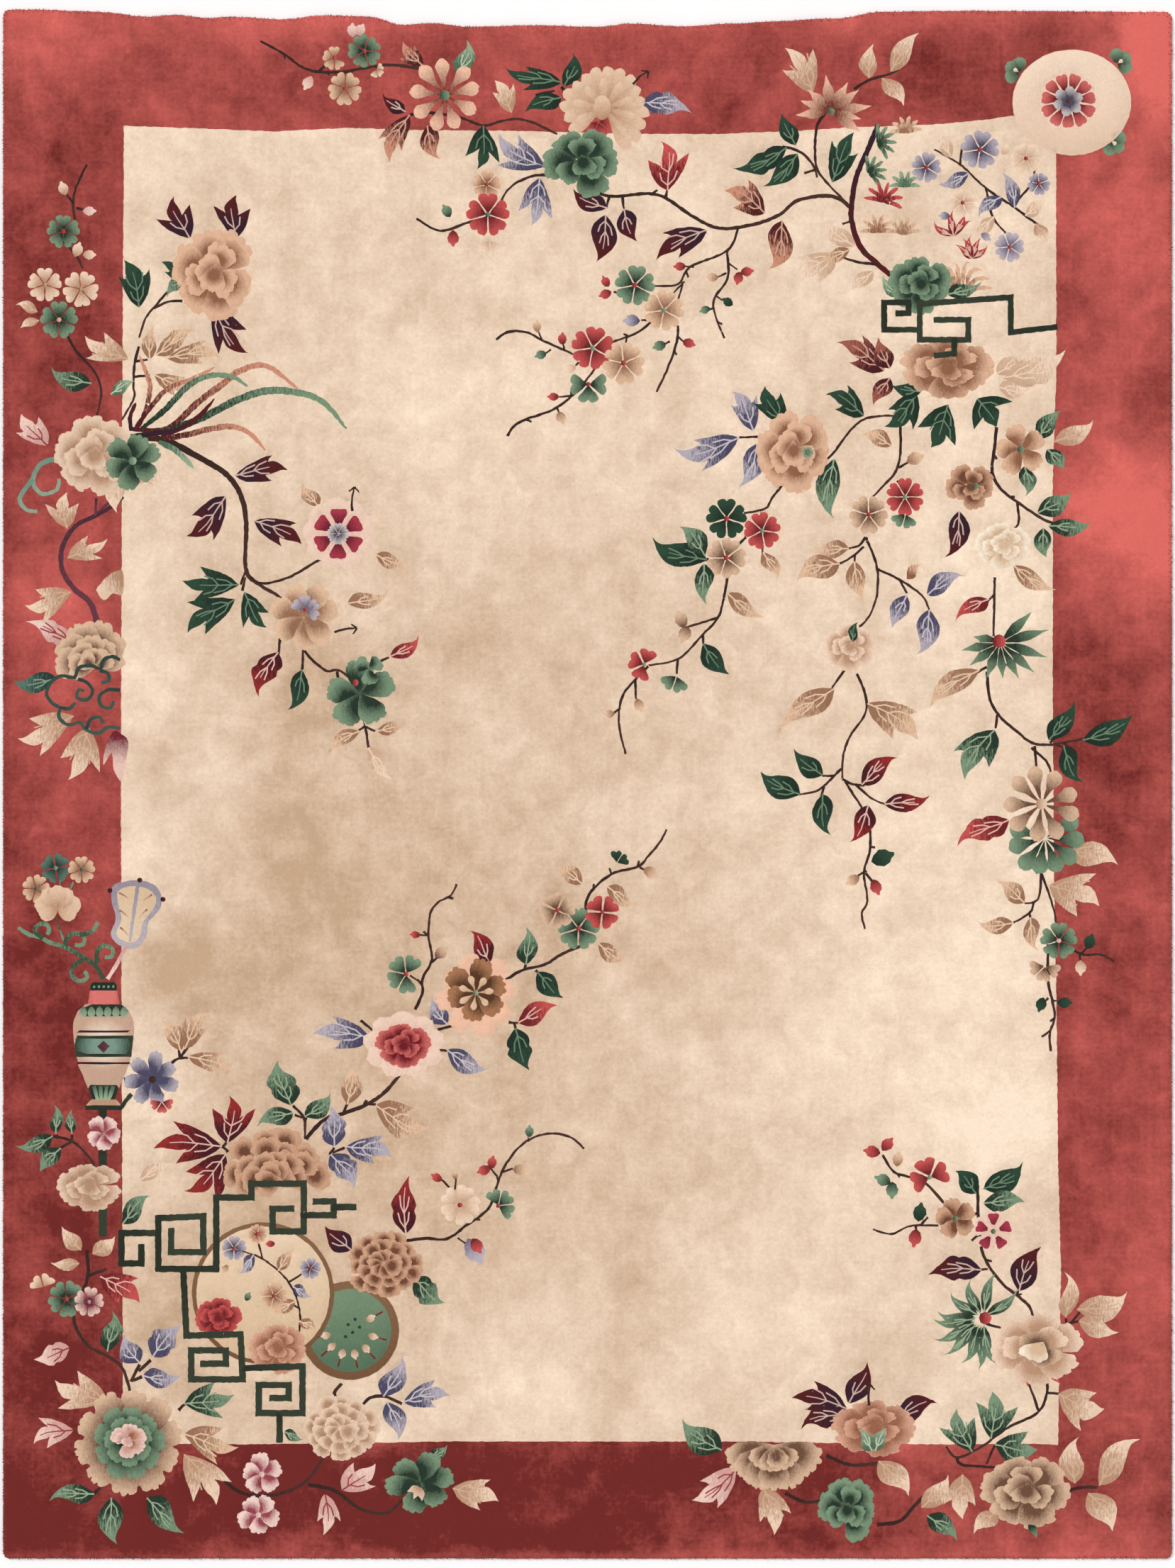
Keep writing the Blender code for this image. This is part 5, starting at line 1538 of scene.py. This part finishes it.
def grid_points(margin, near):
    """Loose points all over the rug, closer together in the ripples, with none next to an outline."""
    found = []
    across = round((WIDTH - 2 * margin) / GRID_STEP)
    y = -LENGTH / 2 + margin
    while y < LENGTH / 2 - margin:
        step = GRID_STEP * (0.5 if y > LENGTH / 2 - 0.32 else 1.0)
        for i in range(across + 1):
            x = -WIDTH / 2 + margin + (WIDTH - 2 * margin) * i / across
            x += dice.uniform(-GRID_SLIP, GRID_SLIP)
            at = (x, y + dice.uniform(-GRID_SLIP, GRID_SLIP))
            limit = LENGTH / 2 - end_short(at[0]) - margin
            if abs(at[0]) > WIDTH / 2 - margin or not -LENGTH / 2 + margin < at[1] < limit:
                continue
            if near.find((*at, 0.0))[2] > 0.007:
                found.append(at)
        y += step
    return found


def meshed(loop, rings, loose):
    """Triangles over the loop, cut along the rings. Gives points, triangles, each one's topmost ring or -1,
    and the place of each of the loop's points."""
    points, faces = [tuple(point) for point in loop], [list(range(len(loop)))]
    for ring in rings:
        faces.append(list(range(len(points), len(points) + len(ring))))
        points.extend(tuple(point) for point in ring)
    points.extend(loose)
    made = delaunay_2d_cdt(points, [], faces, 0, 1e-6, True)
    triangles, owners = [], []
    for triangle, sources in zip(made[2], made[5]):
        if 0 in sources:
            triangles.append(list(triangle))
            owners.append(max(sources) - 1)
    place = {}
    for i, sources in enumerate(made[3]):
        for source in sources:
            place[source] = i
    return [tuple(point) for point in made[0]], triangles, owners, [place[i] for i in range(len(loop))]


def linear(colour):
    """A screen colour from 0 to 255 as light."""
    return [((c / 255 + 0.055) / 1.055) ** 2.4 if c > 10 else c / 255 / 12.92 for c in colour] + [1.0]


# A petal stays dark round its place up to a depth, then turns quickly to its pale rim
PETAL_TURN, PETAL_DEPTH = 1.42, 0.34


def dye_corners(mesh, shapes, owners):
    """Writes the wool's colours to the mesh: a dye's two ends, how far along it a corner is, its ground."""
    count = len(mesh.loops)
    near, far = np.ones((count, 4)), np.ones((count, 4))
    run, ground, hatching = np.zeros(count), np.zeros(count), np.full(count, 0.3)
    light = {name: (linear(dye.base), linear(dye.tip), linear(dye.vein or dye.tip))
             for name, dye in DYES.items()}
    index = np.zeros(count, int)
    mesh.loops.foreach_get("vertex_index", index)
    flat = np.zeros(len(mesh.vertices) * 3)
    mesh.vertices.foreach_get("co", flat)
    plan = flat.reshape(-1, 3)[:, :2]
    # The ground's run carries painted sheen and painted shade as well as the wool's uneven dyeing.
    border = [tone_and_sheen(x, y, BORDER_TONE_AND_SHEEN, 0.38) for x, y in plan]
    field = [tone_and_sheen(x, y, FIELD_TONE_AND_SHEEN, 0.60) for x, y in plan]
    for polygon in mesh.polygons:
        owner = owners[polygon.index] if polygon.index < len(owners) else -1
        shape = shapes[owner] if owner >= 0 else None
        name = shape.dye if shape else "border"
        base, tip, vein = light[name]
        for k in polygon.loop_indices:
            if shape and shape.vein:
                near[k], far[k], run[k] = vein, vein, 0.5
                continue
            near[k], far[k] = base, tip
            hatching[k] = 1.1 if shape and shape.layer in (STALKS, FOLIAGE) else 0.3
            if name == "border":
                run[k], ground[k] = border[index[k]], 1.0
            elif name == "field":
                run[k], ground[k] = field[index[k]], 1.0
            else:
                at = plan[index[k]]
                if shape.spot:
                    run[k] = PETAL_TURN * math.dist(at, shape.start) / shape.spot - PETAL_DEPTH
                    continue
                run[k] = (at[0] - shape.start[0]) * shape.axis[0] + (at[1] - shape.start[1]) * shape.axis[1]
    for label, values, kind in (("dye_base", near, "FLOAT_COLOR"), ("dye_tip", far, "FLOAT_COLOR")):
        mesh.attributes.new(label, kind, "CORNER").data.foreach_set("color", values.ravel())
    for label, values in (("dye_run", run), ("ground", ground), ("hatching", hatching)):
        mesh.attributes.new(label, "FLOAT", "CORNER").data.foreach_set("value", values)


def new_piece(name, points, faces):
    """A mesh object with smooth shading."""
    mesh = bpy.data.meshes.new(name)
    mesh.from_pydata(points, [], faces)
    mesh.validate()
    mesh.shade_smooth()
    piece = bpy.data.objects.new(name, mesh)
    bpy.context.collection.objects.link(piece)
    return piece


def under_face(loop, loop_places, height, points, faces):
    """Closes a body underneath with a face that follows the ripples. loop_places are the loop's points."""
    near = tree_of(loop)
    under, triangles, _, ring = meshed(loop, [], grid_points(0.05, near)[::2])
    place = dict(zip(ring, loop_places))
    for i, (x, y) in enumerate(under):
        if i not in place:
            place[i] = len(points)
            points.append((x, y, height + lift(x, y)))
    faces.extend([place[c], place[b], place[a]] for a, b, c in triangles)


def field_shape(step, slip, carve):
    """The pale field as one shape, which the border lies round."""
    outline = stepped([(x * CM, y * CM) for x, y in FIELD_EDGE], step, slip)
    return Shape(GROUND, outline, "field", (0, 0), (0, 0), carve, -1, False, 0.0)


def rug_pile():
    """The pile: its whole face with every motif carved in, and its rolled edge."""
    shapes = [field_shape(0.008, 0.0009, SHALLOW * CARVE_DEPTH)] + design.in_order()
    rings = [np.array(shape.outline) for shape in shapes]
    shown = uncovered(shapes, rings)
    samples = [(*point, shape.carve) for shape, ring, clear in zip(shapes, rings, shown) if shape.carve
               for point in ring[clear]]
    carved = tree_of([(x, y) for x, y, _ in samples])
    loop = edge_loop(RIM[0].inset)
    loose = shoulders(shapes, rings, shown, carved) + design.spots
    taken = [tuple(point) for ring in rings for point in ring] + loose + loop
    loose += grid_points(0.022, tree_of(taken))
    cut = [thinned(ring, clear) for ring, clear in zip(rings, shown)]
    plan, faces, owners, ring_places = meshed(loop, cut, loose)

    points = []
    for x, y in plan:
        _, sample, far = carved.find((x, y, 0.0))
        share = min(1.0, far / CARVE_HALF)
        depth = samples[sample][2] * (1 - share * share * (3 - 2 * share))
        points.append((x, y, THICKNESS + lift(x, y) + fold_rise(x, y) + swell(x, y) - depth))
    for place in ring_places:
        x, y, _ = points[place]
        points[place] = (x, y, RIM[0].height + lift(x, y))

    before, outline = ring_places, loop
    for step in RIM[1:]:
        outline = edge_loop(step.inset, RIM_ROUGH)
        after = list(range(len(points), len(points) + len(outline)))
        points += [(x, y, step.height + lift(x, y)) for x, y in outline]
        for k in range(len(before)):
            n = (k + 1) % len(before)
            faces.append([after[k], after[n], before[n], before[k]])
        before = after
    under_face(outline, before, RIM[-1].height, points, faces)
    piece = new_piece("rug_pile", points, faces)
    dye_corners(piece.data, shapes, owners)
    return piece


def rug_back():
    """The foundation under the pile, whose lower face shows the knots' backs in the same colours."""
    shapes = [field_shape(0.03, 0.0, 0)] + [shape for shape in design.in_order() if not shape.vein]
    rings = [np.array(shape.outline[::2]) for shape in shapes]
    loop = edge_loop(BACK_INSET)
    near = tree_of([tuple(point) for ring in rings for point in ring] + loop)
    plan, faces, owners, ring_places = meshed(loop, rings, grid_points(0.02, near))
    points = [(x, y, lift(x, y)) for x, y in plan]
    faces = [face[::-1] for face in faces]
    before = ring_places
    after = list(range(len(points), len(points) + len(loop)))
    points += [(x, y, FOUNDATION - 0.0002 + lift(x, y)) for x, y in loop]
    for k in range(len(before)):
        n = (k + 1) % len(before)
        faces.append([before[k], before[n], after[n], after[k]])
    lower = len(faces)
    under_face(loop, after, FOUNDATION - 0.0002, points, faces)
    for face in faces[lower:]:
        face.reverse()
    piece = new_piece("rug_back", points, faces)
    dye_corners(piece.data, shapes, owners)
    return piece


class Wire:
    """A socket of a node tree that takes part in sums, as numbers do."""

    def __init__(self, bench, socket):
        self.bench, self.socket = bench, socket

    def maths(self, operation, *others, clamp=False):
        """The result of a Math node on this socket and the others."""
        return self.bench.add("ShaderNodeMath", {"operation": operation, "use_clamp": clamp}, {
            k: value for k, value in enumerate((self, *others))})

    def __add__(self, other):
        return self.maths("ADD", other)

    __radd__ = __add__

    def __sub__(self, other):
        return self.maths("SUBTRACT", other)

    def __rsub__(self, other):
        return self.bench.add("ShaderNodeMath", {"operation": "SUBTRACT"}, {0: other, 1: self})

    def __mul__(self, other):
        return self.maths("MULTIPLY", other)

    __rmul__ = __mul__

    def clamped(self):
        """This value kept between 0 and 1."""
        return self.maths("ADD", 0.0, clamp=True)


class Bench:
    """A node tree being built."""

    def __init__(self, tree):
        self.tree = tree

    def add(self, kind, settings=None, inputs=None, output=0):
        """A node with its settings and its inputs' values or links; gives one of its outputs."""
        node = self.tree.nodes.new(kind)
        for name, value in (settings or {}).items():
            setattr(node, name, value)
        for name, value in (inputs or {}).items():
            if isinstance(value, Wire):
                self.tree.links.new(value.socket, node.inputs[name])
            else:
                node.inputs[name].default_value = value
        return Wire(self, node.outputs[output])


def mixed(bench, factor, a, b, blend="MIX"):
    """Two colours mixed. A Mix node's colour sockets are its factor at 0, then 6 and 7."""
    return bench.add("ShaderNodeMix", {"data_type": "RGBA", "blend_type": blend}, {0: factor, 6: a, 7: b}, 2)


def new_material(name, roughness, sheen):
    """A material with its Principled shader, and the bench that its nodes are built on."""
    material = bpy.data.materials.new(name)
    material.use_nodes = True
    shader = material.node_tree.nodes["Principled BSDF"]
    shader.inputs["Roughness"].default_value = roughness
    shader.inputs["Sheen Weight"].default_value = sheen
    shader.inputs["Sheen Roughness"].default_value = 0.45
    shader.inputs["Specular IOR Level"].default_value = 0.12
    return material, shader, Bench(material.node_tree)


def noise(bench, place, scale, detail, drawn=None, roughness=0.5, distortion=0.0):
    """A noise's value, whose cells can be drawn out along one way."""
    if drawn:
        place = bench.add("ShaderNodeMapping", None, {"Vector": place, "Scale": drawn})
    return bench.add("ShaderNodeTexNoise", None, {
        "Vector": place, "Scale": scale, "Detail": detail, "Roughness": roughness,
        "Distortion": distortion}, "Fac")


KNOT = 0.0031


def wool(name, back=False):
    """Dyed wool. On the face each knot is more of one end of its dye or the other; on the back knots show.
    The ground's colour also carries painted nap sheen: cloudy patches and streaks of lighter and darker pile.
    """
    material, shader, bench = new_material(name, 0.9, 0.0 if back else 0.08)
    place = bench.add("ShaderNodeTexCoord", output="Object")
    attribute = {label: bench.add("ShaderNodeAttribute", {"attribute_name": label}, output=output)
                 for label, output in (("dye_base", "Color"), ("dye_tip", "Color"), ("dye_run", "Fac"),
                                       ("ground", "Fac"), ("hatching", "Fac"))}
    knots = bench.add("ShaderNodeTexVoronoi", {"voronoi_dimensions": "2D"},
                      {"Vector": place, "Scale": 1 / KNOT, "Randomness": 0.7}, "Color")
    knot = bench.add("ShaderNodeSeparateColor", None, {"Color": knots}, "Red")
    drift = noise(bench, place, 4.2, 3.0, roughness=0.55)
    cloud = noise(bench, place, 17.0, 4.0, roughness=0.62, distortion=0.6)
    fleck = noise(bench, place, 120.0, 2.0)
    nap_sheen_streak = noise(bench, place, 1.0, 2.0, drawn=(90.0, 7.0, 1.0))
    weft = noise(bench, place, 1.0, 2.0, drawn=(11.0, 130.0, 1.0))
    hatch = noise(bench, place, 1.0, 1.0, drawn=(300.0, 70.0, 1.0))

    run, ground = attribute["dye_run"], attribute["ground"]
    hatching = attribute["hatching"]
    uneven = run + (hatch - 0.5) * hatching + (knot - 0.5) * 0.10
    dithered = ((uneven - 0.5) * (1.2 + hatching * 0.7) + 0.5).clamped()
    # The ground's colour is cloudy and streaked: uneven dyeing mixed with painted nap sheen, the streaks
    # being painted sheen of the pile's brushed lie.
    mottle_and_nap_sheen = (drift - 0.5) * 0.9 + (cloud - 0.5) * 0.60 + (fleck - 0.5) * 0.32
    shaded = (run + mottle_and_nap_sheen + (nap_sheen_streak - 0.5) * 0.16 + (weft - 0.5) * 0.14).clamped()
    factor = dithered * (1 - ground) + shaded * ground
    colour = mixed(bench, factor, attribute["dye_base"], attribute["dye_tip"])
    # Each knot and cloud is made a little lighter or darker: uneven dyeing mixed with painted sheen.
    lightness = 0.98 + (knot - 0.5) * 0.06 + (cloud - 0.5) * 0.10 + (fleck - 0.5) * 0.10
    colour = bench.add("ShaderNodeVectorMath", {"operation": "SCALE"}, {0: colour, "Scale": lightness})
    bench.tree.links.new(colour.socket, shader.inputs["Base Color"])
    bench.tree.links.new((0.84 + cloud * 0.12).socket, shader.inputs["Roughness"])

    if back:
        rows = bench.add("ShaderNodeTexBrick", {"offset": 0.0}, {
            "Vector": place, "Scale": 1.0, "Color1": (1, 1, 1, 1), "Color2": (0.82, 0.82, 0.82, 1),
            "Mortar": (0, 0, 0, 1), "Mortar Size": 0.0004, "Mortar Smooth": 1.0, "Brick Width": KNOT,
            "Row Height": KNOT * 0.9}, "Color")
        height = bench.add("ShaderNodeSeparateColor", None, {"Color": rows}, "Red") * 0.7 + fleck * 0.3
    else:
        tips = bench.add("ShaderNodeTexVoronoi", {"voronoi_dimensions": "2D"},
                         {"Vector": place, "Scale": 1.6 / KNOT, "Randomness": 1.0}, "Distance")
        # The nap streaks also feed the bump.
        height = (1 - tips) * 0.45 + fleck * 0.8 + cloud * 1.6 + nap_sheen_streak * 0.4
    bump = bench.add("ShaderNodeBump", None, {"Strength": 0.55, "Distance": 0.0016, "Height": height},
                     "Normal")
    bench.tree.links.new(bump.socket, shader.inputs["Normal"])
    return material


def tuft_wool(name, dark, light):
    """Loose ends of wool in one dye."""
    material, shader, bench = new_material(name, 0.9, 0.16)
    place = bench.add("ShaderNodeTexCoord", output="Object")
    patchy = noise(bench, place, 30.0, 3.0)
    speck = noise(bench, place, 400.0, 1.0)
    colour = mixed(bench, (patchy * 1.4 + speck * 0.6 - 0.5).clamped(), linear(dark), linear(light))
    bench.tree.links.new(colour.socket, shader.inputs["Base Color"])
    bench.tree.links.new((0.82 + speck * 0.14).socket, shader.inputs["Roughness"])
    return material


def tuft_tree(material):
    """Geometry nodes that stand short tapered tufts on a surface, each tipped and sized by chance."""
    tree = bpy.data.node_groups.new("tufts", "GeometryNodeTree")
    tree.interface.new_socket("Ground", in_out="INPUT", socket_type="NodeSocketGeometry")
    for name, high in (("Density", 1e6), ("Length", 0.05), ("Radius", 0.01), ("Tilt", 3.2)):
        socket = tree.interface.new_socket(name, in_out="INPUT", socket_type="NodeSocketFloat")
        socket.min_value, socket.max_value = 0.0, high
    tree.interface.new_socket("Tufts", in_out="OUTPUT", socket_type="NodeSocketGeometry")
    bench = Bench(tree)
    entry = tree.nodes.new("NodeGroupInput")
    given = {socket.name: Wire(bench, socket) for socket in entry.outputs if socket.name}
    spread = bench.add("GeometryNodeDistributePointsOnFaces", None,
                       {"Mesh": given["Ground"], "Density": given["Density"], "Seed": 7}, "Points")
    upright = Wire(bench, spread.socket.node.outputs["Rotation"])
    cone = bench.add("GeometryNodeMeshCone", {"fill_type": "TRIANGLE_FAN"}, {
        "Vertices": 4, "Radius Bottom": given["Radius"], "Radius Top": 0.0, "Depth": given["Length"]}, "Mesh")
    size = bench.add("FunctionNodeRandomValue", {"data_type": "FLOAT"}, {2: 0.6, 3: 1.25, "Seed": 3}, 1)
    stood = bench.add("GeometryNodeInstanceOnPoints", None, {
        "Points": spread, "Instance": cone, "Rotation": upright, "Scale": size}, "Instances")
    tip = bench.add("FunctionNodeRandomValue", {"data_type": "FLOAT_VECTOR"}, {
        0: (-1.0, -1.0, -3.0), 1: (1.0, 1.0, 3.0), "Seed": 11}, 0)
    tilt = bench.add("ShaderNodeVectorMath", {"operation": "SCALE"}, {0: tip, "Scale": given["Tilt"]})
    turned_tufts = bench.add("GeometryNodeRotateInstances", None, {
        "Instances": stood, "Rotation": tilt, "Local Space": True}, "Instances")
    solid = bench.add("GeometryNodeRealizeInstances", None, {"Geometry": turned_tufts}, "Geometry")
    dyed = bench.add("GeometryNodeSetMaterial", None, {"Geometry": solid, "Material": material}, "Geometry")
    leave = tree.nodes.new("NodeGroupOutput")
    tree.links.new(dyed.socket, leave.inputs[0])
    return tree


def grown(name, ground, material, **sizes):
    """The tufts that stand on the ground mesh, as a plain mesh piece."""
    base = bpy.data.objects.new(name, ground)
    bpy.context.collection.objects.link(base)
    modifier = base.modifiers.new("tufts", "NODES")
    modifier.node_group = tuft_tree(material)
    for socket in modifier.node_group.interface.items_tree:
        if socket.in_out == "INPUT" and socket.name in sizes:
            modifier[socket.identifier] = sizes[socket.name]
    graph = bpy.context.evaluated_depsgraph_get()
    mesh = bpy.data.meshes.new_from_object(base.evaluated_get(graph))
    base.modifiers.clear()
    base.data = mesh
    mesh.name = name
    mesh.shade_smooth()
    return base


def edge_ground():
    """The rolled edge as an open band, for its tufts to stand on."""
    points, faces = [], []
    before = None
    for step in RIM[1:7]:
        loop = edge_loop(step.inset)
        after = list(range(len(points), len(points) + len(loop)))
        points += [(x, y, step.height + lift(x, y)) for x, y in loop]
        if before:
            for k in range(len(loop)):
                n = (k + 1) % len(loop)
                faces.append([after[k], after[n], before[n], before[k]])
        before = after
    mesh = bpy.data.meshes.new("edge_ground")
    mesh.from_pydata(points, [], faces)
    return mesh


def field_ground():
    """A plain sheet just in the face of the field, for its few loose ends."""
    half_x, half_y = 1.05, 1.48
    mesh = bpy.data.meshes.new("field_ground")
    height = THICKNESS + 0.0008
    mesh.from_pydata([(-half_x, -half_y, height), (half_x, -half_y, height), (half_x, half_y, height),
                      (-half_x, half_y, height)], [], [(0, 1, 2, 3)])
    return mesh


def floor():
    """A plain pale floor."""
    size, drop = 14.0, -0.0006
    mesh = bpy.data.meshes.new("floor")
    corners = [(-size, -size, drop), (size, -size, drop), (size, size, drop), (-size, size, drop)]
    mesh.from_pydata(corners, [], [(0, 1, 2, 3)])
    ground = bpy.data.objects.new("floor", mesh)
    bpy.context.collection.objects.link(ground)
    material, shader, _ = new_material("pale_floor", 0.9, 0.0)
    shader.inputs["Base Color"].default_value = linear((250, 250, 250))
    mesh.materials.append(material)


def studio():
    """Soft even light, a little stronger from the upper left, and the camera straight above."""
    scene = bpy.context.scene
    world = bpy.data.worlds.new("studio")
    world.use_nodes = True
    world.node_tree.nodes["Background"].inputs["Color"].default_value = (1.0, 0.99, 0.98, 1.0)
    world.node_tree.nodes["Background"].inputs["Strength"].default_value = 0.47
    scene.world = world
    for name, aim, strength, spread in (("key", (0.62, -0.52, -0.95), 1.82, 24.0),
                                        ("fill", (-0.7, 0.3, -1.2), 0.55, 60.0)):
        lamp = bpy.data.lights.new(name, "SUN")
        lamp.energy, lamp.angle = strength, math.radians(spread)
        holder = bpy.data.objects.new(name, lamp)
        holder.rotation_euler = Vector(aim).to_track_quat("-Z", "Y").to_euler()
        bpy.context.collection.objects.link(holder)
    height, frame_height = 6.4, 3.620
    camera = bpy.data.cameras.new("camera")
    camera.sensor_width = 36.0
    camera.lens = camera.sensor_width * (height - THICKNESS) / frame_height
    holder = bpy.data.objects.new("camera", camera)
    holder.location = (0.0, 0.0, height)
    bpy.context.collection.objects.link(holder)
    scene.camera = holder
    scene.view_settings.view_transform = "Standard"


studio()
floor()
pile = rug_pile()
pile.data.materials.append(wool("wool_pile"))
back = rug_back()
back.data.materials.append(wool("wool_back", back=True))
rose_ends = tuft_wool("rose_ends", (122, 48, 45), (206, 106, 100))
ivory_ends = tuft_wool("ivory_ends", (214, 184, 156), (250, 232, 212))
edge_tufts = grown("edge_tufts", edge_ground(), rose_ends, Density=36000.0, Length=0.0036, Radius=0.0011,
                   Tilt=0.45)
field_ends = grown("field_ends", field_ground(), ivory_ends, Density=60.0, Length=0.0050, Radius=0.0006,
                   Tilt=1.5)

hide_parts("rug")
for piece in (pile, back, edge_tufts, field_ends):
    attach(piece, "root")
    print(piece.name, len(piece.data.polygons), "faces")
